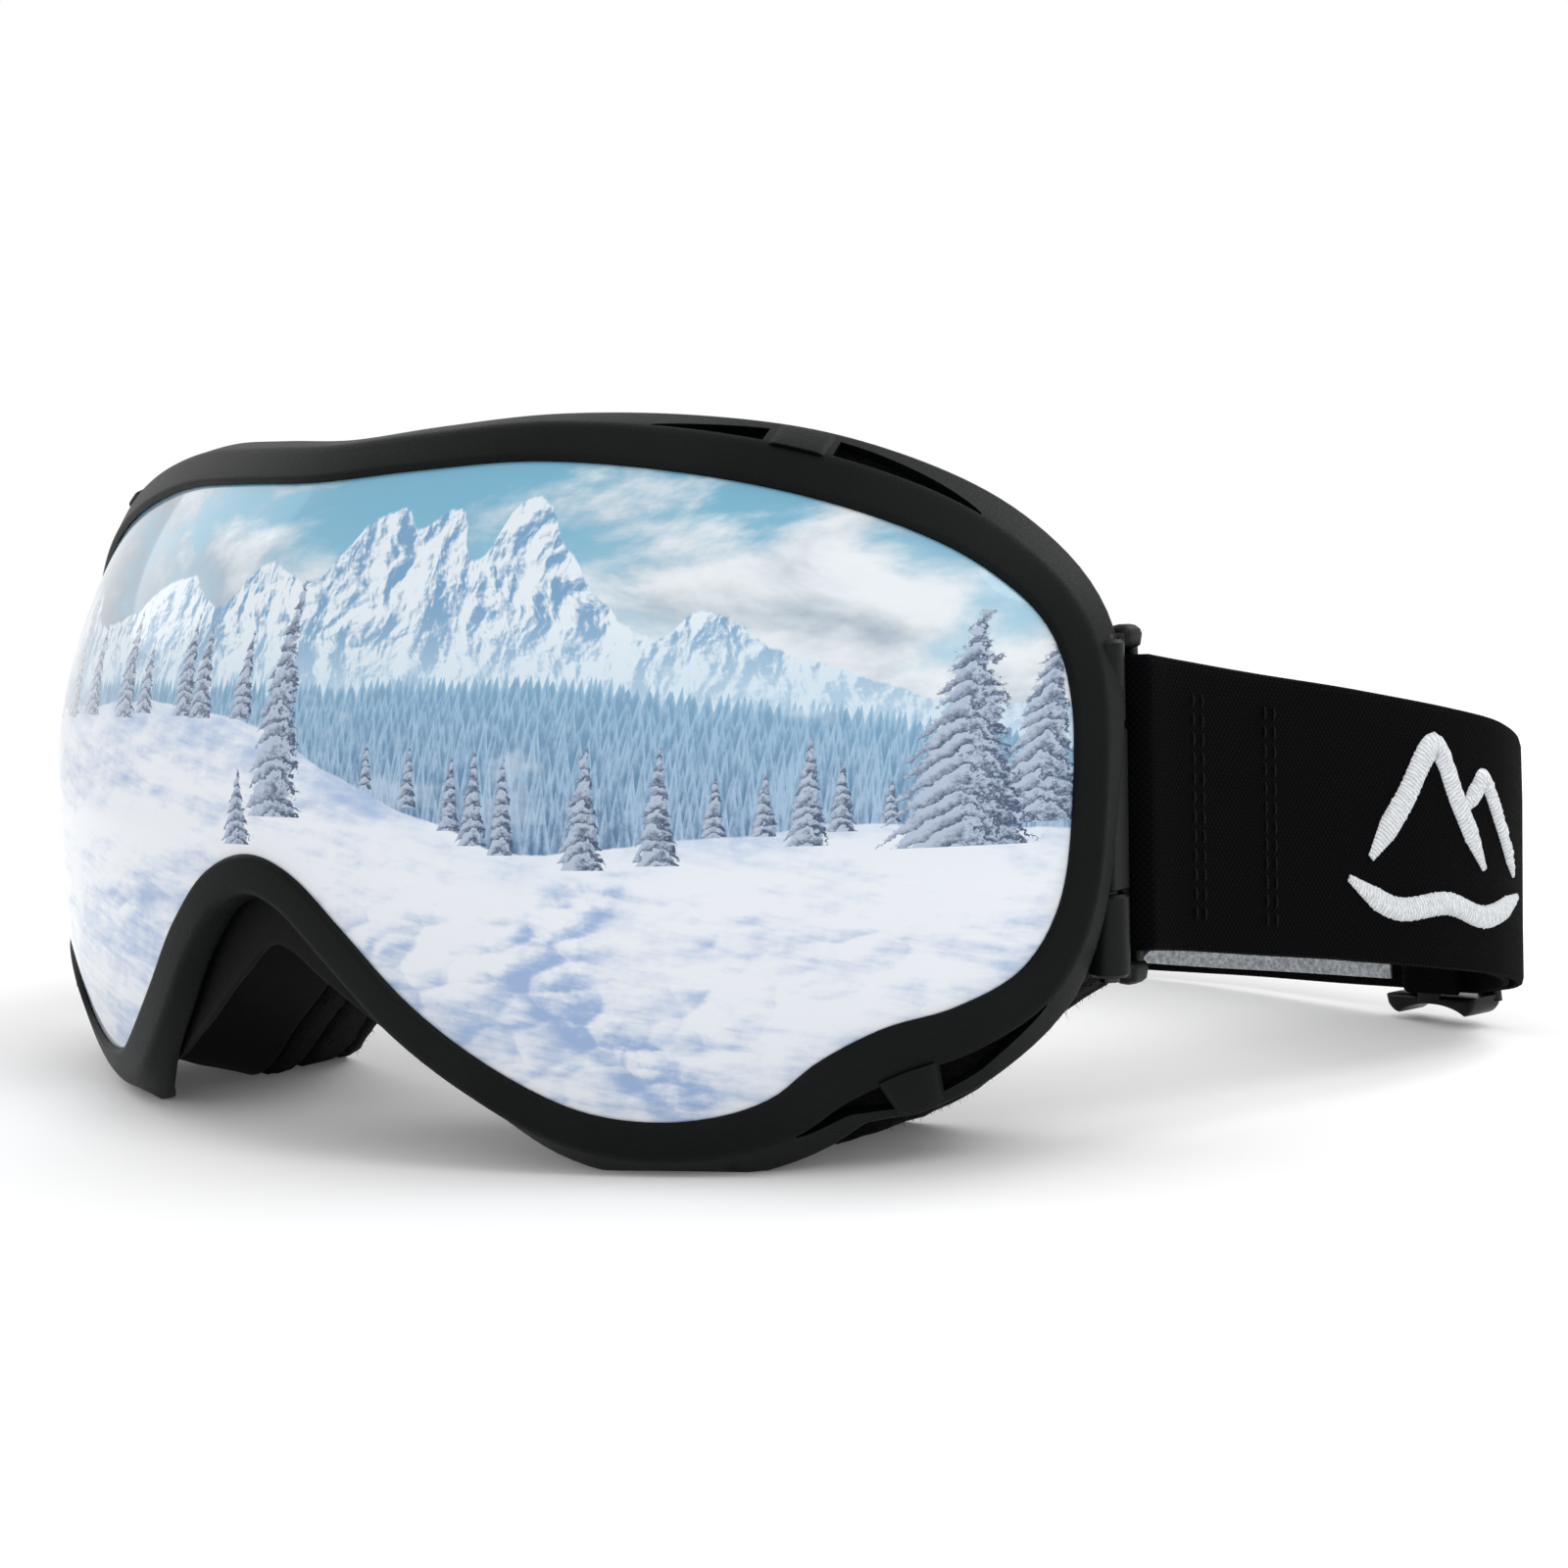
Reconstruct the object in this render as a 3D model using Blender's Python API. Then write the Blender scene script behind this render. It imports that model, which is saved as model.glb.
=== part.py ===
"""Ski goggles with a toric double lens, a vented frame, three-layer face foam,
hinged strap outriggers and an adjustable elastic strap loop.

Everything is drawn from the lens' foremost point and parented to one empty, which
stands the goggles on the flats under their two cheek lobes: +X is the wearer's left,
-Y is forward, +Z is up. The origin is under the middle of the whole object.
"""
import math

import bmesh
import bpy
from mathutils import Matrix, Vector

MM = 0.001

# ---- driving dimensions, in millimetres -------------------------------------------
GROUND_Z = -41.6              # height of the resting plane under the lens' axis
MIDDLE_Y = 78.5               # middle of the object from front to back

LENS_RADIUS_X = 109.7         # horizontal radius of the toric lens at its fullest
LENS_RADIUS_Z = 80.9          # vertical radius of the lens
LENS_BULGE_Z = -8.8           # height of the lens' foremost point
LENS_THICKNESS = 1.2
INNER_LENS_THICKNESS = 0.9
LENS_GAP = 2.8                # air gap held open by the spacer

WALL = 1.6                    # wall of the front frame
FACE_Y = 41.5                 # how far back the fleece lies at the middle
FACE_CURVE = 0.0040           # how fast it wraps back towards the temples, 1/mm
FOAM_LAYERS = (("face_foam_base", 5.6), ("face_foam_comfort", 7.4), ("face_fleece", 1.6))
GAP = 0.3                     # clearance between pieces that touch

STRAP_HEIGHT = 32.6
STRAP_THICKNESS = 1.3
FLEX_Y, FLEX_Z = 56.5, -2.6   # the strap bends up and down about this line
FLEX_RADIUS = 16.8            # round end of the strap's sewn loop
FLEX_CLEARANCE = 0.5
PIN_X, PIN_Y, PIN_RADIUS = 84.0, 48.4, 1.1
OUTRIGGER_TOP, OUTRIGGER_BOTTOM = 16.5, -22.6
OUTRIGGER_PLATE = 2.2
BARREL_RADIUS = 2.3
MOUNT_X = 79.6                # inner face of the hinge mount, against the chassis
MOUNT_LOW, MOUNT_HIGH = -12.0, 6.0
SLIDER_LENGTH = 15.0
SLIDER_DEPTH = 6.6             # thickness across the strap
SLIDER_TRAVEL_START = 6.5     # from the corner to the slider's middle, along the strap

STATIONS = 96                 # sections around the frame

# One half of the lens' edge seen from the front, from the top middle by the temple to
# the nose: x, z, then the widths outside that edge of the ring's flat face, of the whole
# rim, and of the soft nose flange beyond the rim.
HALF_OUTLINE = (
    (0.0, 35.9, 4.6, 7.6, 0.0),
    (15.0, 36.5, 4.6, 7.9, 0.0),
    (29.5, 36.8, 4.8, 8.3, 0.0),
    (44.0, 35.1, 5.0, 9.2, 0.0),
    (57.0, 32.1, 5.0, 9.9, 0.0),
    (68.0, 27.8, 4.8, 9.7, 0.0),
    (75.5, 23.0, 4.3, 9.2, 0.0),
    (81.0, 16.8, 3.9, 8.2, 0.0),
    (83.8, 8.5, 3.6, 6.8, 0.0),
    (84.5, -2.5, 3.6, 6.0, 0.0),
    (83.6, -12.0, 3.7, 6.2, 0.0),
    (80.4, -19.0, 4.2, 8.0, 0.0),
    (75.0, -22.8, 4.8, 10.4, 0.0),
    (69.0, -24.8, 5.2, 11.6, 0.0),
    (63.0, -28.3, 5.0, 10.0, 0.0),
    (58.0, -32.4, 4.6, 9.2, 0.0),
    (52.0, -34.6, 4.4, 9.0, 0.0),
    (45.0, -35.1, 4.4, 8.8, 0.0),
    (38.0, -33.6, 4.4, 8.0, 0.3),
    (30.0, -29.0, 4.4, 6.0, 1.6),
    (22.0, -22.6, 4.4, 5.4, 3.4),
    (14.3, -14.6, 4.4, 5.2, 5.2),
    (7.2, -8.5, 4.4, 5.0, 6.0),
    (0.0, -6.3, 4.4, 5.0, 6.2),
)

# Vent slots: the part of the half outline that each pair spans, as x along the edge,
# and whether it lies on the upper or the lower edge.
VENTS = (
    ("top", 40.0, 56.2, 73.5),
    ("bottom", 57.5, 69.5, 80.5),
)
BRIDGE_HALF_WIDTH = 2.8       # half of the block that parts the two slots of a vent

# The strap's centre line on the wearer's left, from the outrigger to the middle of
# the back: x, y and height. It sinks along the leg and lies on the ground behind.
STRAP_HALF = (
    (87.0, 52.8, -2.6), (87.6, 60.0, -3.7), (91.2, 74.0, -6.2), (96.0, 89.0, -8.7),
    (100.4, 104.0, -11.3), (102.2, 118.0, -14.2), (99.4, 131.0, -18.0),
    (90.0, 139.6, -20.6), (75.0, 144.6, -21.6), (58.0, 149.8, -22.7),
    (40.0, 154.2, -23.8), (20.0, 156.8, -24.3), (0.0, 157.4, -24.4),
)


# ---- helpers ----------------------------------------------------------------------
def clear_scene():
    for obj in list(bpy.data.objects):
        bpy.data.objects.remove(obj, do_unlink=True)


def make_collection(name):
    collection = bpy.data.collections.new(name)
    bpy.context.scene.collection.children.link(collection)
    return collection


def make_material(name, color, roughness, metallic=0.0, alpha=1.0):
    material = bpy.data.materials.new(name)
    material.use_nodes = True
    shader = material.node_tree.nodes["Principled BSDF"]
    shader.inputs["Base Color"].default_value = (*color, 1.0)
    shader.inputs["Roughness"].default_value = roughness
    shader.inputs["Metallic"].default_value = metallic
    shader.inputs["Alpha"].default_value = alpha
    material.diffuse_color = (*color, alpha)
    return material


def catmull_rom(points, closed, steps):
    """Smooth curve through the points; each point is a tuple of numbers."""
    count = len(points)
    spans = count if closed else count - 1
    curve = []
    for span in range(spans):
        if closed:
            four = [points[(span + k) % count] for k in (-1, 0, 1, 2)]
        else:
            four = [points[min(max(span + k, 0), count - 1)] for k in (-1, 0, 1, 2)]
        for step in range(steps):
            t = step / steps
            weights = (
                0.5 * (-t + 2 * t * t - t ** 3),
                0.5 * (2 - 5 * t * t + 3 * t ** 3),
                0.5 * (t + 4 * t * t - 3 * t ** 3),
                0.5 * (-t * t + t ** 3),
            )
            curve.append(tuple(sum(w * p[i] for w, p in zip(weights, four))
                               for i in range(len(points[0]))))
    if not closed:
        curve.append(tuple(points[-1]))
    return curve


def resample(curve, count, closed):
    """Points at equal distances along a curve, measured on its first two numbers."""
    loop = curve + [curve[0]] if closed else curve
    lengths = [0.0]
    for a, b in zip(loop, loop[1:]):
        lengths.append(lengths[-1] + math.hypot(b[0] - a[0], b[1] - a[1]))
    spacing = lengths[-1] / (count if closed else count - 1)
    result, index = [], 0
    for k in range(count):
        target = min(k * spacing, lengths[-1])
        while index < len(lengths) - 2 and lengths[index + 1] < target:
            index += 1
        share = (target - lengths[index]) / max(lengths[index + 1] - lengths[index], 1e-9)
        result.append(tuple(a + (b - a) * share for a, b in zip(loop[index], loop[index + 1])))
    return result


def lens_y(x, z):
    """Depth of the lens' outer surface behind its foremost point."""
    rise = LENS_RADIUS_Z - math.sqrt(LENS_RADIUS_Z ** 2 - (z - LENS_BULGE_Z) ** 2)
    return LENS_RADIUS_X - math.sqrt((LENS_RADIUS_X - rise) ** 2 - x * x)


def lens_normal(x, z):
    """Unit normal of the lens' outer surface, pointing forward and out."""
    step = 0.01
    slope_x = (lens_y(x + step, z) - lens_y(x - step, z)) / (2 * step)
    slope_z = (lens_y(x, z + step) - lens_y(x, z - step)) / (2 * step)
    return Vector((slope_x, -1.0, slope_z)).normalized()


def face_y(x):
    """Depth of the wearer's side of the face foam."""
    return FACE_Y + FACE_CURVE * x * x


def on_ground(points):
    """The section with everything below the resting plane pressed flat onto it."""
    return [Vector((p.x, p.y, max(p.z, GROUND_Z))) for p in points]


class Station:
    """One section of the frame: a point of the lens' edge and its directions."""

    def __init__(self, here, before, after):
        self.x, self.z, self.ring, self.rim, self.flange = here
        along = Vector((after[0] - before[0], 0.0, after[1] - before[1])).normalized()
        self.flat_out = Vector((-along.z, 0.0, along.x))
        self.edge = Vector((self.x, lens_y(self.x, self.z), self.z))
        self.normal = lens_normal(self.x, self.z)
        out = self.flat_out - self.normal * self.flat_out.dot(self.normal)
        self.out = out.normalized()

    def at(self, outward, forward):
        """A point near the lens' edge, measured along and off its surface."""
        return self.edge + self.out * outward + self.normal * forward

    def inside(self, depth_in, depth):
        """A point in from the lens' edge by depth_in, behind its surface by depth."""
        x, z = self.x - self.flat_out.x * depth_in, self.z - self.flat_out.z * depth_in
        return Vector((x, lens_y(x, z), z)) - lens_normal(x, z) * depth

    def back(self, outward, y):
        """A point of a section far behind the lens, measured straight outward."""
        return Vector((self.x, y, self.z)) + self.flat_out * outward

    def inward(self, outward, depth, y):
        """As back, then moved by depth towards the line through the wearer's eyes."""
        place = self.back(outward, y)
        spine = Vector((max(-36.0, min(36.0, place.x)), y, 2.0))
        return place + (spine - place).normalized() * depth


def full_outline():
    other_half = [(-x, z, *widths) for x, z, *widths in reversed(HALF_OUTLINE[1:-1])]
    return list(HALF_OUTLINE) + other_half


def make_stations(count):
    ring = resample(catmull_rom(full_outline(), True, 12), count, True)
    return [Station(ring[k], ring[k - 1], ring[(k + 1) % count]) for k in range(count)]


def vent_stations(edge, start_x, end_x, count):
    """Stations along one stretch of the wearer's left half, from start_x to end_x."""
    dense = catmull_rom(list(HALF_OUTLINE), False, 24)
    widest = max(range(len(dense)), key=lambda k: dense[k][0])
    side = dense[:widest] if edge == "top" else dense[widest:]
    stretch = [p for p in side if start_x <= p[0] <= end_x]
    points = resample(stretch, count + 2, False)
    return [Station(points[k], points[k - 1], points[k + 1]) for k in range(1, count + 1)]


def add_object(name, mesh, material, collection, parent):
    obj = bpy.data.objects.new(name, mesh)
    mesh.materials.append(material)
    collection.objects.link(obj)
    obj.parent = parent
    return obj


def mesh_from_sections(name, sections, closed):
    """Loft through equal sections; an open loft is capped at both ends."""
    bm = bmesh.new()
    rows = [[bm.verts.new(point * MM) for point in section] for section in sections]
    pairs = list(zip(rows, rows[1:]))
    if closed:
        pairs.append((rows[-1], rows[0]))
    size = len(rows[0])
    for first, second in pairs:
        for k in range(size):
            bm.faces.new((first[k], first[(k + 1) % size],
                          second[(k + 1) % size], second[k]))
    if not closed:
        bm.faces.new(rows[0])
        bm.faces.new(rows[-1])
    bmesh.ops.recalc_face_normals(bm, faces=bm.faces)
    mesh = bpy.data.meshes.new(name)
    bm.to_mesh(mesh)
    bm.free()
    mesh.shade_smooth()
    mesh.set_sharp_from_angle(angle=math.radians(35))
    return mesh


def box_mesh(name, low, high):
    bm = bmesh.new()
    bmesh.ops.create_cube(bm, size=1.0)
    low, high = Vector(low) * MM, Vector(high) * MM
    middle, size = (low + high) / 2, [abs(side) for side in high - low]
    bm.transform(Matrix.Translation(middle) @ Matrix.Diagonal((*size, 1.0)))
    mesh = bpy.data.meshes.new(name)
    bm.to_mesh(mesh)
    bm.free()
    return mesh


def cylinder_mesh(name, start, end, radius, segments=20):
    """A round bar from start to end."""
    start, end = Vector(start) * MM, Vector(end) * MM
    axis = end - start
    bm = bmesh.new()
    bmesh.ops.create_cone(bm, cap_ends=True, segments=segments, radius1=radius * MM,
                          radius2=radius * MM, depth=axis.length)
    turn = axis.to_track_quat("Z", "Y").to_matrix().to_4x4()
    bm.transform(Matrix.Translation((start + end) / 2) @ turn)
    mesh = bpy.data.meshes.new(name)
    bm.to_mesh(mesh)
    bm.free()
    return mesh


def rounded_plate(name, outline, holes, thickness):
    """A flat plate in the local XY plane, with holes, as a mesh centred on z = 0."""
    curve = bpy.data.curves.new(name, "CURVE")
    curve.dimensions = "2D"
    curve.fill_mode = "BOTH"
    curve.extrude = thickness * MM / 2
    for loop in (outline, *holes):
        spline = curve.splines.new("POLY")
        spline.points.add(len(loop) - 1)
        for point, (x, y) in zip(spline.points, loop):
            point.co = (x * MM, y * MM, 0.0, 1.0)
        spline.use_cyclic_u = True
    temporary = bpy.data.objects.new(name, curve)
    bpy.context.scene.collection.objects.link(temporary)
    bpy.context.view_layer.update()
    graph = bpy.context.evaluated_depsgraph_get()
    mesh = bpy.data.meshes.new_from_object(temporary.evaluated_get(graph))
    bpy.data.objects.remove(temporary)
    bm = bmesh.new()
    bm.from_mesh(mesh)
    bmesh.ops.remove_doubles(bm, verts=bm.verts, dist=1e-6)
    bmesh.ops.recalc_face_normals(bm, faces=bm.faces)
    bm.to_mesh(mesh)
    bm.free()
    return mesh


def rounded_rectangle(low, high, radius, steps=4):
    """Corner-rounded rectangle as a list of points, counter-clockwise."""
    points = []
    corners = ((high[0] - radius, high[1] - radius, 0), (low[0] + radius, high[1] - radius, 90),
               (low[0] + radius, low[1] + radius, 180), (high[0] - radius, low[1] + radius, 270))
    for x, y, start in corners:
        for k in range(steps + 1):
            angle = math.radians(start + 90 * k / steps)
            points.append((x + radius * math.cos(angle), y + radius * math.sin(angle)))
    return points


def add_boolean(obj, other, operation):
    modifier = obj.modifiers.new(other.name, "BOOLEAN")
    modifier.operation = operation
    modifier.object = other
    modifier.solver = "EXACT"


def add_cutter(name, mesh, collection, parent):
    cutter = bpy.data.objects.new(name, mesh)
    collection.objects.link(cutter)
    cutter.parent = parent
    cutter.hide_render = True
    cutter.display_type = "WIRE"
    return cutter


def mirrored(mesh, name):
    """A copy of the mesh on the other side of the middle plane."""
    copy = mesh.copy()
    copy.name = name
    bm = bmesh.new()
    bm.from_mesh(copy)
    bm.transform(Matrix.Diagonal((-1.0, 1.0, 1.0, 1.0)))
    bmesh.ops.reverse_faces(bm, faces=bm.faces)
    bm.to_mesh(copy)
    bm.free()
    return copy


# ---- lens -------------------------------------------------------------------------
def lens_mesh(name, stations, edge_offset, depth, thickness, rings=7):
    """A toric pane: its edge lies edge_offset outside the visible edge."""
    middle = Vector((0.0, 0.0, 5.0))
    bm = bmesh.new()
    faces = []
    for off in (-depth, -depth - thickness):
        edge = [station.at(edge_offset, 0.0) for station in stations]
        rows = []
        for ring in range(rings):
            share = 1.0 - ring / rings
            row = []
            for point in edge:
                x = middle.x + (point.x - middle.x) * share
                z = middle.z + (point.z - middle.z) * share
                place = Vector((x, lens_y(x, z), z)) + lens_normal(x, z) * off
                row.append(bm.verts.new(place * MM))
            rows.append(row)
        centre = Vector((middle.x, lens_y(middle.x, middle.z), middle.z))
        centre += lens_normal(middle.x, middle.z) * off
        hub = bm.verts.new(centre * MM)
        faces.append((rows, hub))
    count = len(stations)
    for rows, hub in faces:
        for outer, inner in zip(rows, rows[1:]):
            for k in range(count):
                bm.faces.new((outer[k], outer[(k + 1) % count],
                              inner[(k + 1) % count], inner[k]))
        for k in range(count):
            bm.faces.new((rows[-1][k], rows[-1][(k + 1) % count], hub))
    front, rear = faces[0][0][0], faces[1][0][0]
    for k in range(count):
        bm.faces.new((front[k], front[(k + 1) % count], rear[(k + 1) % count], rear[k]))
    bmesh.ops.recalc_face_normals(bm, faces=bm.faces)
    mesh = bpy.data.meshes.new(name)
    bm.to_mesh(mesh)
    bm.free()
    mesh.shade_smooth()
    mesh.set_sharp_from_angle(angle=math.radians(35))
    return mesh


def build_lenses(collection, parent):
    mirror = make_material("lens_mirror", (0.55, 0.72, 0.86), 0.08)
    clear = make_material("lens_clear", (0.75, 0.8, 0.82), 0.05, alpha=0.5)
    foam = make_material("spacer_foam", (0.02, 0.02, 0.02), 0.9)
    coarse = make_stations(STATIONS // 2)
    fine = make_stations(STATIONS)
    add_object("outer_lens", lens_mesh("outer_lens", fine, 1.1, 0.0, LENS_THICKNESS),
               mirror, collection, parent)
    inner_depth = LENS_THICKNESS + LENS_GAP + 2 * GAP
    inner = lens_mesh("inner_lens", coarse, -2.5, inner_depth, INNER_LENS_THICKNESS, 5)
    add_object("inner_lens", inner, clear, collection, parent)
    front = LENS_THICKNESS + 2 * GAP
    rear = front + LENS_GAP - GAP
    sections = [[s.inside(5.4, front), s.inside(2.4, front),
                 s.inside(2.4, rear), s.inside(5.4, rear)] for s in fine]
    add_object("lens_spacer", mesh_from_sections("lens_spacer", sections, True),
               foam, collection, parent)


# ---- frames -----------------------------------------------------------------------
def front_frame_section(s):
    """The ring over the lens' edge, its ridge, and the wall that runs back from the rim."""
    room = max(0.0, 1.0 - s.flange / 0.4)
    wall_back = Vector((0.0, 1.4 * (1.0 - temple_share(s)) * room, 0.0))
    return on_ground([
        s.at(0.0, 0.35), s.at(0.35, 0.9), s.at(s.ring, 0.9), s.at(s.rim, -2.0),
        s.at(s.rim, -2.6) + wall_back, s.at(s.rim - WALL, -2.9) + wall_back,
        s.at(s.rim - WALL, -2.6), s.at(1.5, -2.6), s.at(1.5, 0.35),
    ])


def vent_cutter_section(s, share):
    """Opening between ring and rim; it closes to a point at both ends of the vent."""
    open_share = math.sin(math.pi * share) ** 0.7
    inner = s.ring + 0.3
    outer = inner + max(s.rim - WALL + 0.25 - inner, 0.3) * open_share
    return [s.at(inner, 6.0), s.at(outer, 6.0), s.at(outer, -9.0), s.at(inner, -9.0)]


def vent_cutters(collection, parent):
    cutters = []
    for edge, start, middle, end in VENTS:
        stations = vent_stations(edge, start, end, 25)
        for half in ("outer", "inner"):
            kept = []
            for k, s in enumerate(stations):
                beyond = abs(s.x - middle) > BRIDGE_HALF_WIDTH
                wanted = s.x > middle if half == "outer" else s.x < middle
                if beyond and wanted:
                    kept.append(vent_cutter_section(s, (k + 0.5) / len(stations)))
            name = f"vent_cutter_{edge}_{half}"
            mesh = mesh_from_sections(name, kept, False)
            cutters.append(add_cutter(f"{name}_left", mesh, collection, parent))
            cutters.append(add_cutter(f"{name}_right", mirrored(mesh, name), collection, parent))
    return cutters


def temple_share(s):
    """0 over the eyes and cheeks, 1 beside the temples, where the outriggers sit."""
    return max(0.0, min(1.0, (abs(s.x) - 66.0) / 12.0))


def wall_edge(s):
    """How far outside the lens' edge the back of the chassis lies."""
    temple = max(0.0, min(1.0, (abs(s.x) - 46.0) / 30.0))
    below = max(0.0, min(1.0, -s.z / 20.0))
    cheek = (s.rim - 1.0) * below + (s.rim - 5.0) * (1.0 - below)
    return cheek * (1.0 - temple) - (11.5 - 7.5 * below * below) * temple + 0.4 * s.flange


def inner_frame_section(s):
    """The chassis: a flange under the ring, a wall back to the foam, a nose flange."""
    temple = temple_share(s)
    outer = min(s.rim - WALL - 0.4, s.ring - 0.2) + 1.25 * s.flange
    lobe = max(0.0, min(1.0, (-s.z - 28.0) / 6.0)) * (1.0 - temple)
    start = 0.6 - 3.0 * temple + (s.rim - 3.0) * lobe
    cheek = 0.6 + (outer - 0.9) * lobe
    wall = wall_edge(s)
    rear = face_y(s.x) - sum(thick for _, thick in FOAM_LAYERS) - 3 * GAP - 0.2
    return on_ground([
        s.at(-1.4, -3.2), s.at(outer, -3.2 - 0.1 * s.flange), s.at(outer, -4.8),
        s.at(cheek, -5.5), s.at(start, -8.2), s.back(wall, rear), s.inward(wall, 4.0, rear),
        s.inward(wall, 2.2, rear - 2.0), s.at(start - 2.4, -8.0), s.at(-1.4, -6.2),
    ])


def build_frames(collection, cutters, parent):
    charcoal = make_material("frame_charcoal", (0.022, 0.027, 0.027), 0.5)
    black = make_material("chassis_black", (0.012, 0.013, 0.014), 0.6)
    stations = make_stations(STATIONS)
    sections = [front_frame_section(s) for s in stations]
    front = add_object("front_frame", mesh_from_sections("front_frame", sections, True),
                       charcoal, collection, parent)
    for cutter in vent_cutters(cutters, parent):
        add_boolean(front, cutter, "DIFFERENCE")
    sections = [inner_frame_section(s) for s in stations]
    rear = add_object("inner_frame", mesh_from_sections("inner_frame", sections, True),
                      black, collection, parent)
    for side, sign in (("left", 1.0), ("right", -1.0)):
        pin = [Vector((sign * PIN_X, PIN_Y, z)) for z in (MOUNT_LOW, OUTRIGGER_TOP + 6.0)]
        room = cylinder_mesh(f"barrel_room_{side}", *pin, BARREL_RADIUS + 0.6, 26)
        cutter = add_cutter(f"barrel_room_{side}", room, cutters, parent)
        add_boolean(front, cutter, "DIFFERENCE")
        corners = [(sign * (PIN_X + 4.0), PIN_Y + 8.0, OUTRIGGER_BOTTOM - 0.5),
                   (sign * (PIN_X - 2.8), PIN_Y - 2.5, OUTRIGGER_TOP + 0.5)]
        room = box_mesh(f"plate_room_{side}", *corners)
        cutter = add_cutter(f"plate_room_{side}", room, cutters, parent)
        add_boolean(rear, cutter, "DIFFERENCE")


def build_vent_filters(collection, parent):
    foam = make_material("filter_foam", (0.018, 0.018, 0.02), 0.95)
    for edge, start, _, end in VENTS:
        stations = vent_stations(edge, start + 6.5, end - 1.5, 17)
        sections = [[s.at(1.9, -5.75), s.at(s.rim - WALL - 0.8, -5.75),
                     s.at(s.rim - WALL - 0.8, -6.15), s.at(1.9, -6.15)] for s in stations]
        mesh = mesh_from_sections(f"vent_filter_{edge}", sections, False)
        add_object(f"vent_filter_{edge}_left", mesh, foam, collection, parent)
        other = mirrored(mesh, f"vent_filter_{edge}_right")
        add_object(f"vent_filter_{edge}_right", other, foam, collection, parent)


def build_face_foam(collection, parent):
    shades = {"face_foam_base": 0.015, "face_foam_comfort": 0.02, "face_fleece": 0.012}
    stations = make_stations(STATIONS)
    depth = sum(thick for _, thick in FOAM_LAYERS) + 2 * GAP
    for name, thick in FOAM_LAYERS:
        material = make_material(name, (shades[name],) * 3, 0.95)
        sections = []
        for s in stations:
            outer = wall_edge(s) + 0.5
            front, rear = face_y(s.x) - depth, face_y(s.x) - depth + thick
            section = [s.back(outer, front), s.back(outer, rear),
                       s.inward(outer, 9.0, rear), s.inward(outer, 9.0, front)]
            sections.append(on_ground(section))
        add_object(name, mesh_from_sections(name, sections, True), material, collection, parent)
        depth -= thick + GAP


# ---- outriggers -------------------------------------------------------------------
def outrigger_plate_mesh(name):
    """The slotted plate of an outrigger, upright behind its pin."""
    front, rear = PIN_Y + 1.6, PIN_Y + 6.1
    outline = rounded_rectangle((front, OUTRIGGER_BOTTOM), (rear, OUTRIGGER_TOP), 2.0)
    slot = rounded_rectangle((PIN_Y + 2.4, OUTRIGGER_BOTTOM + 2.2),
                             (PIN_Y + 4.6, OUTRIGGER_TOP - 2.2), 0.6, 2)
    mesh = rounded_plate(name, outline, [slot], OUTRIGGER_PLATE)
    upright = Matrix(((0, 0, 1, PIN_X * MM), (1, 0, 0, 0), (0, 1, 0, 0), (0, 0, 0, 1)))
    mesh.transform(upright)
    return mesh


def outrigger_cutters(side):
    """What joins the plate to its pin: a barrel, its bore, and room for the mount."""
    middle = (MOUNT_LOW + MOUNT_HIGH) / 2
    half = (MOUNT_HIGH - MOUNT_LOW) / 2 + GAP
    barrel = cylinder_mesh(f"barrel_{side}", (PIN_X, PIN_Y, OUTRIGGER_BOTTOM + 1.2),
                           (PIN_X, PIN_Y, OUTRIGGER_TOP - 1.2), BARREL_RADIUS, 22)
    bore = cylinder_mesh(f"barrel_bore_{side}", (PIN_X, PIN_Y, OUTRIGGER_BOTTOM - 5.0),
                         (PIN_X, PIN_Y, OUTRIGGER_TOP + 5.0), PIN_RADIUS + GAP)
    room = box_mesh(f"mount_room_{side}", (PIN_X - 4.0, PIN_Y - 4.0, middle - half),
                    (PIN_X + 4.0, PIN_Y + 2.3, middle + half))
    return ((barrel, "UNION"), (bore, "DIFFERENCE"), (room, "DIFFERENCE"))


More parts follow.
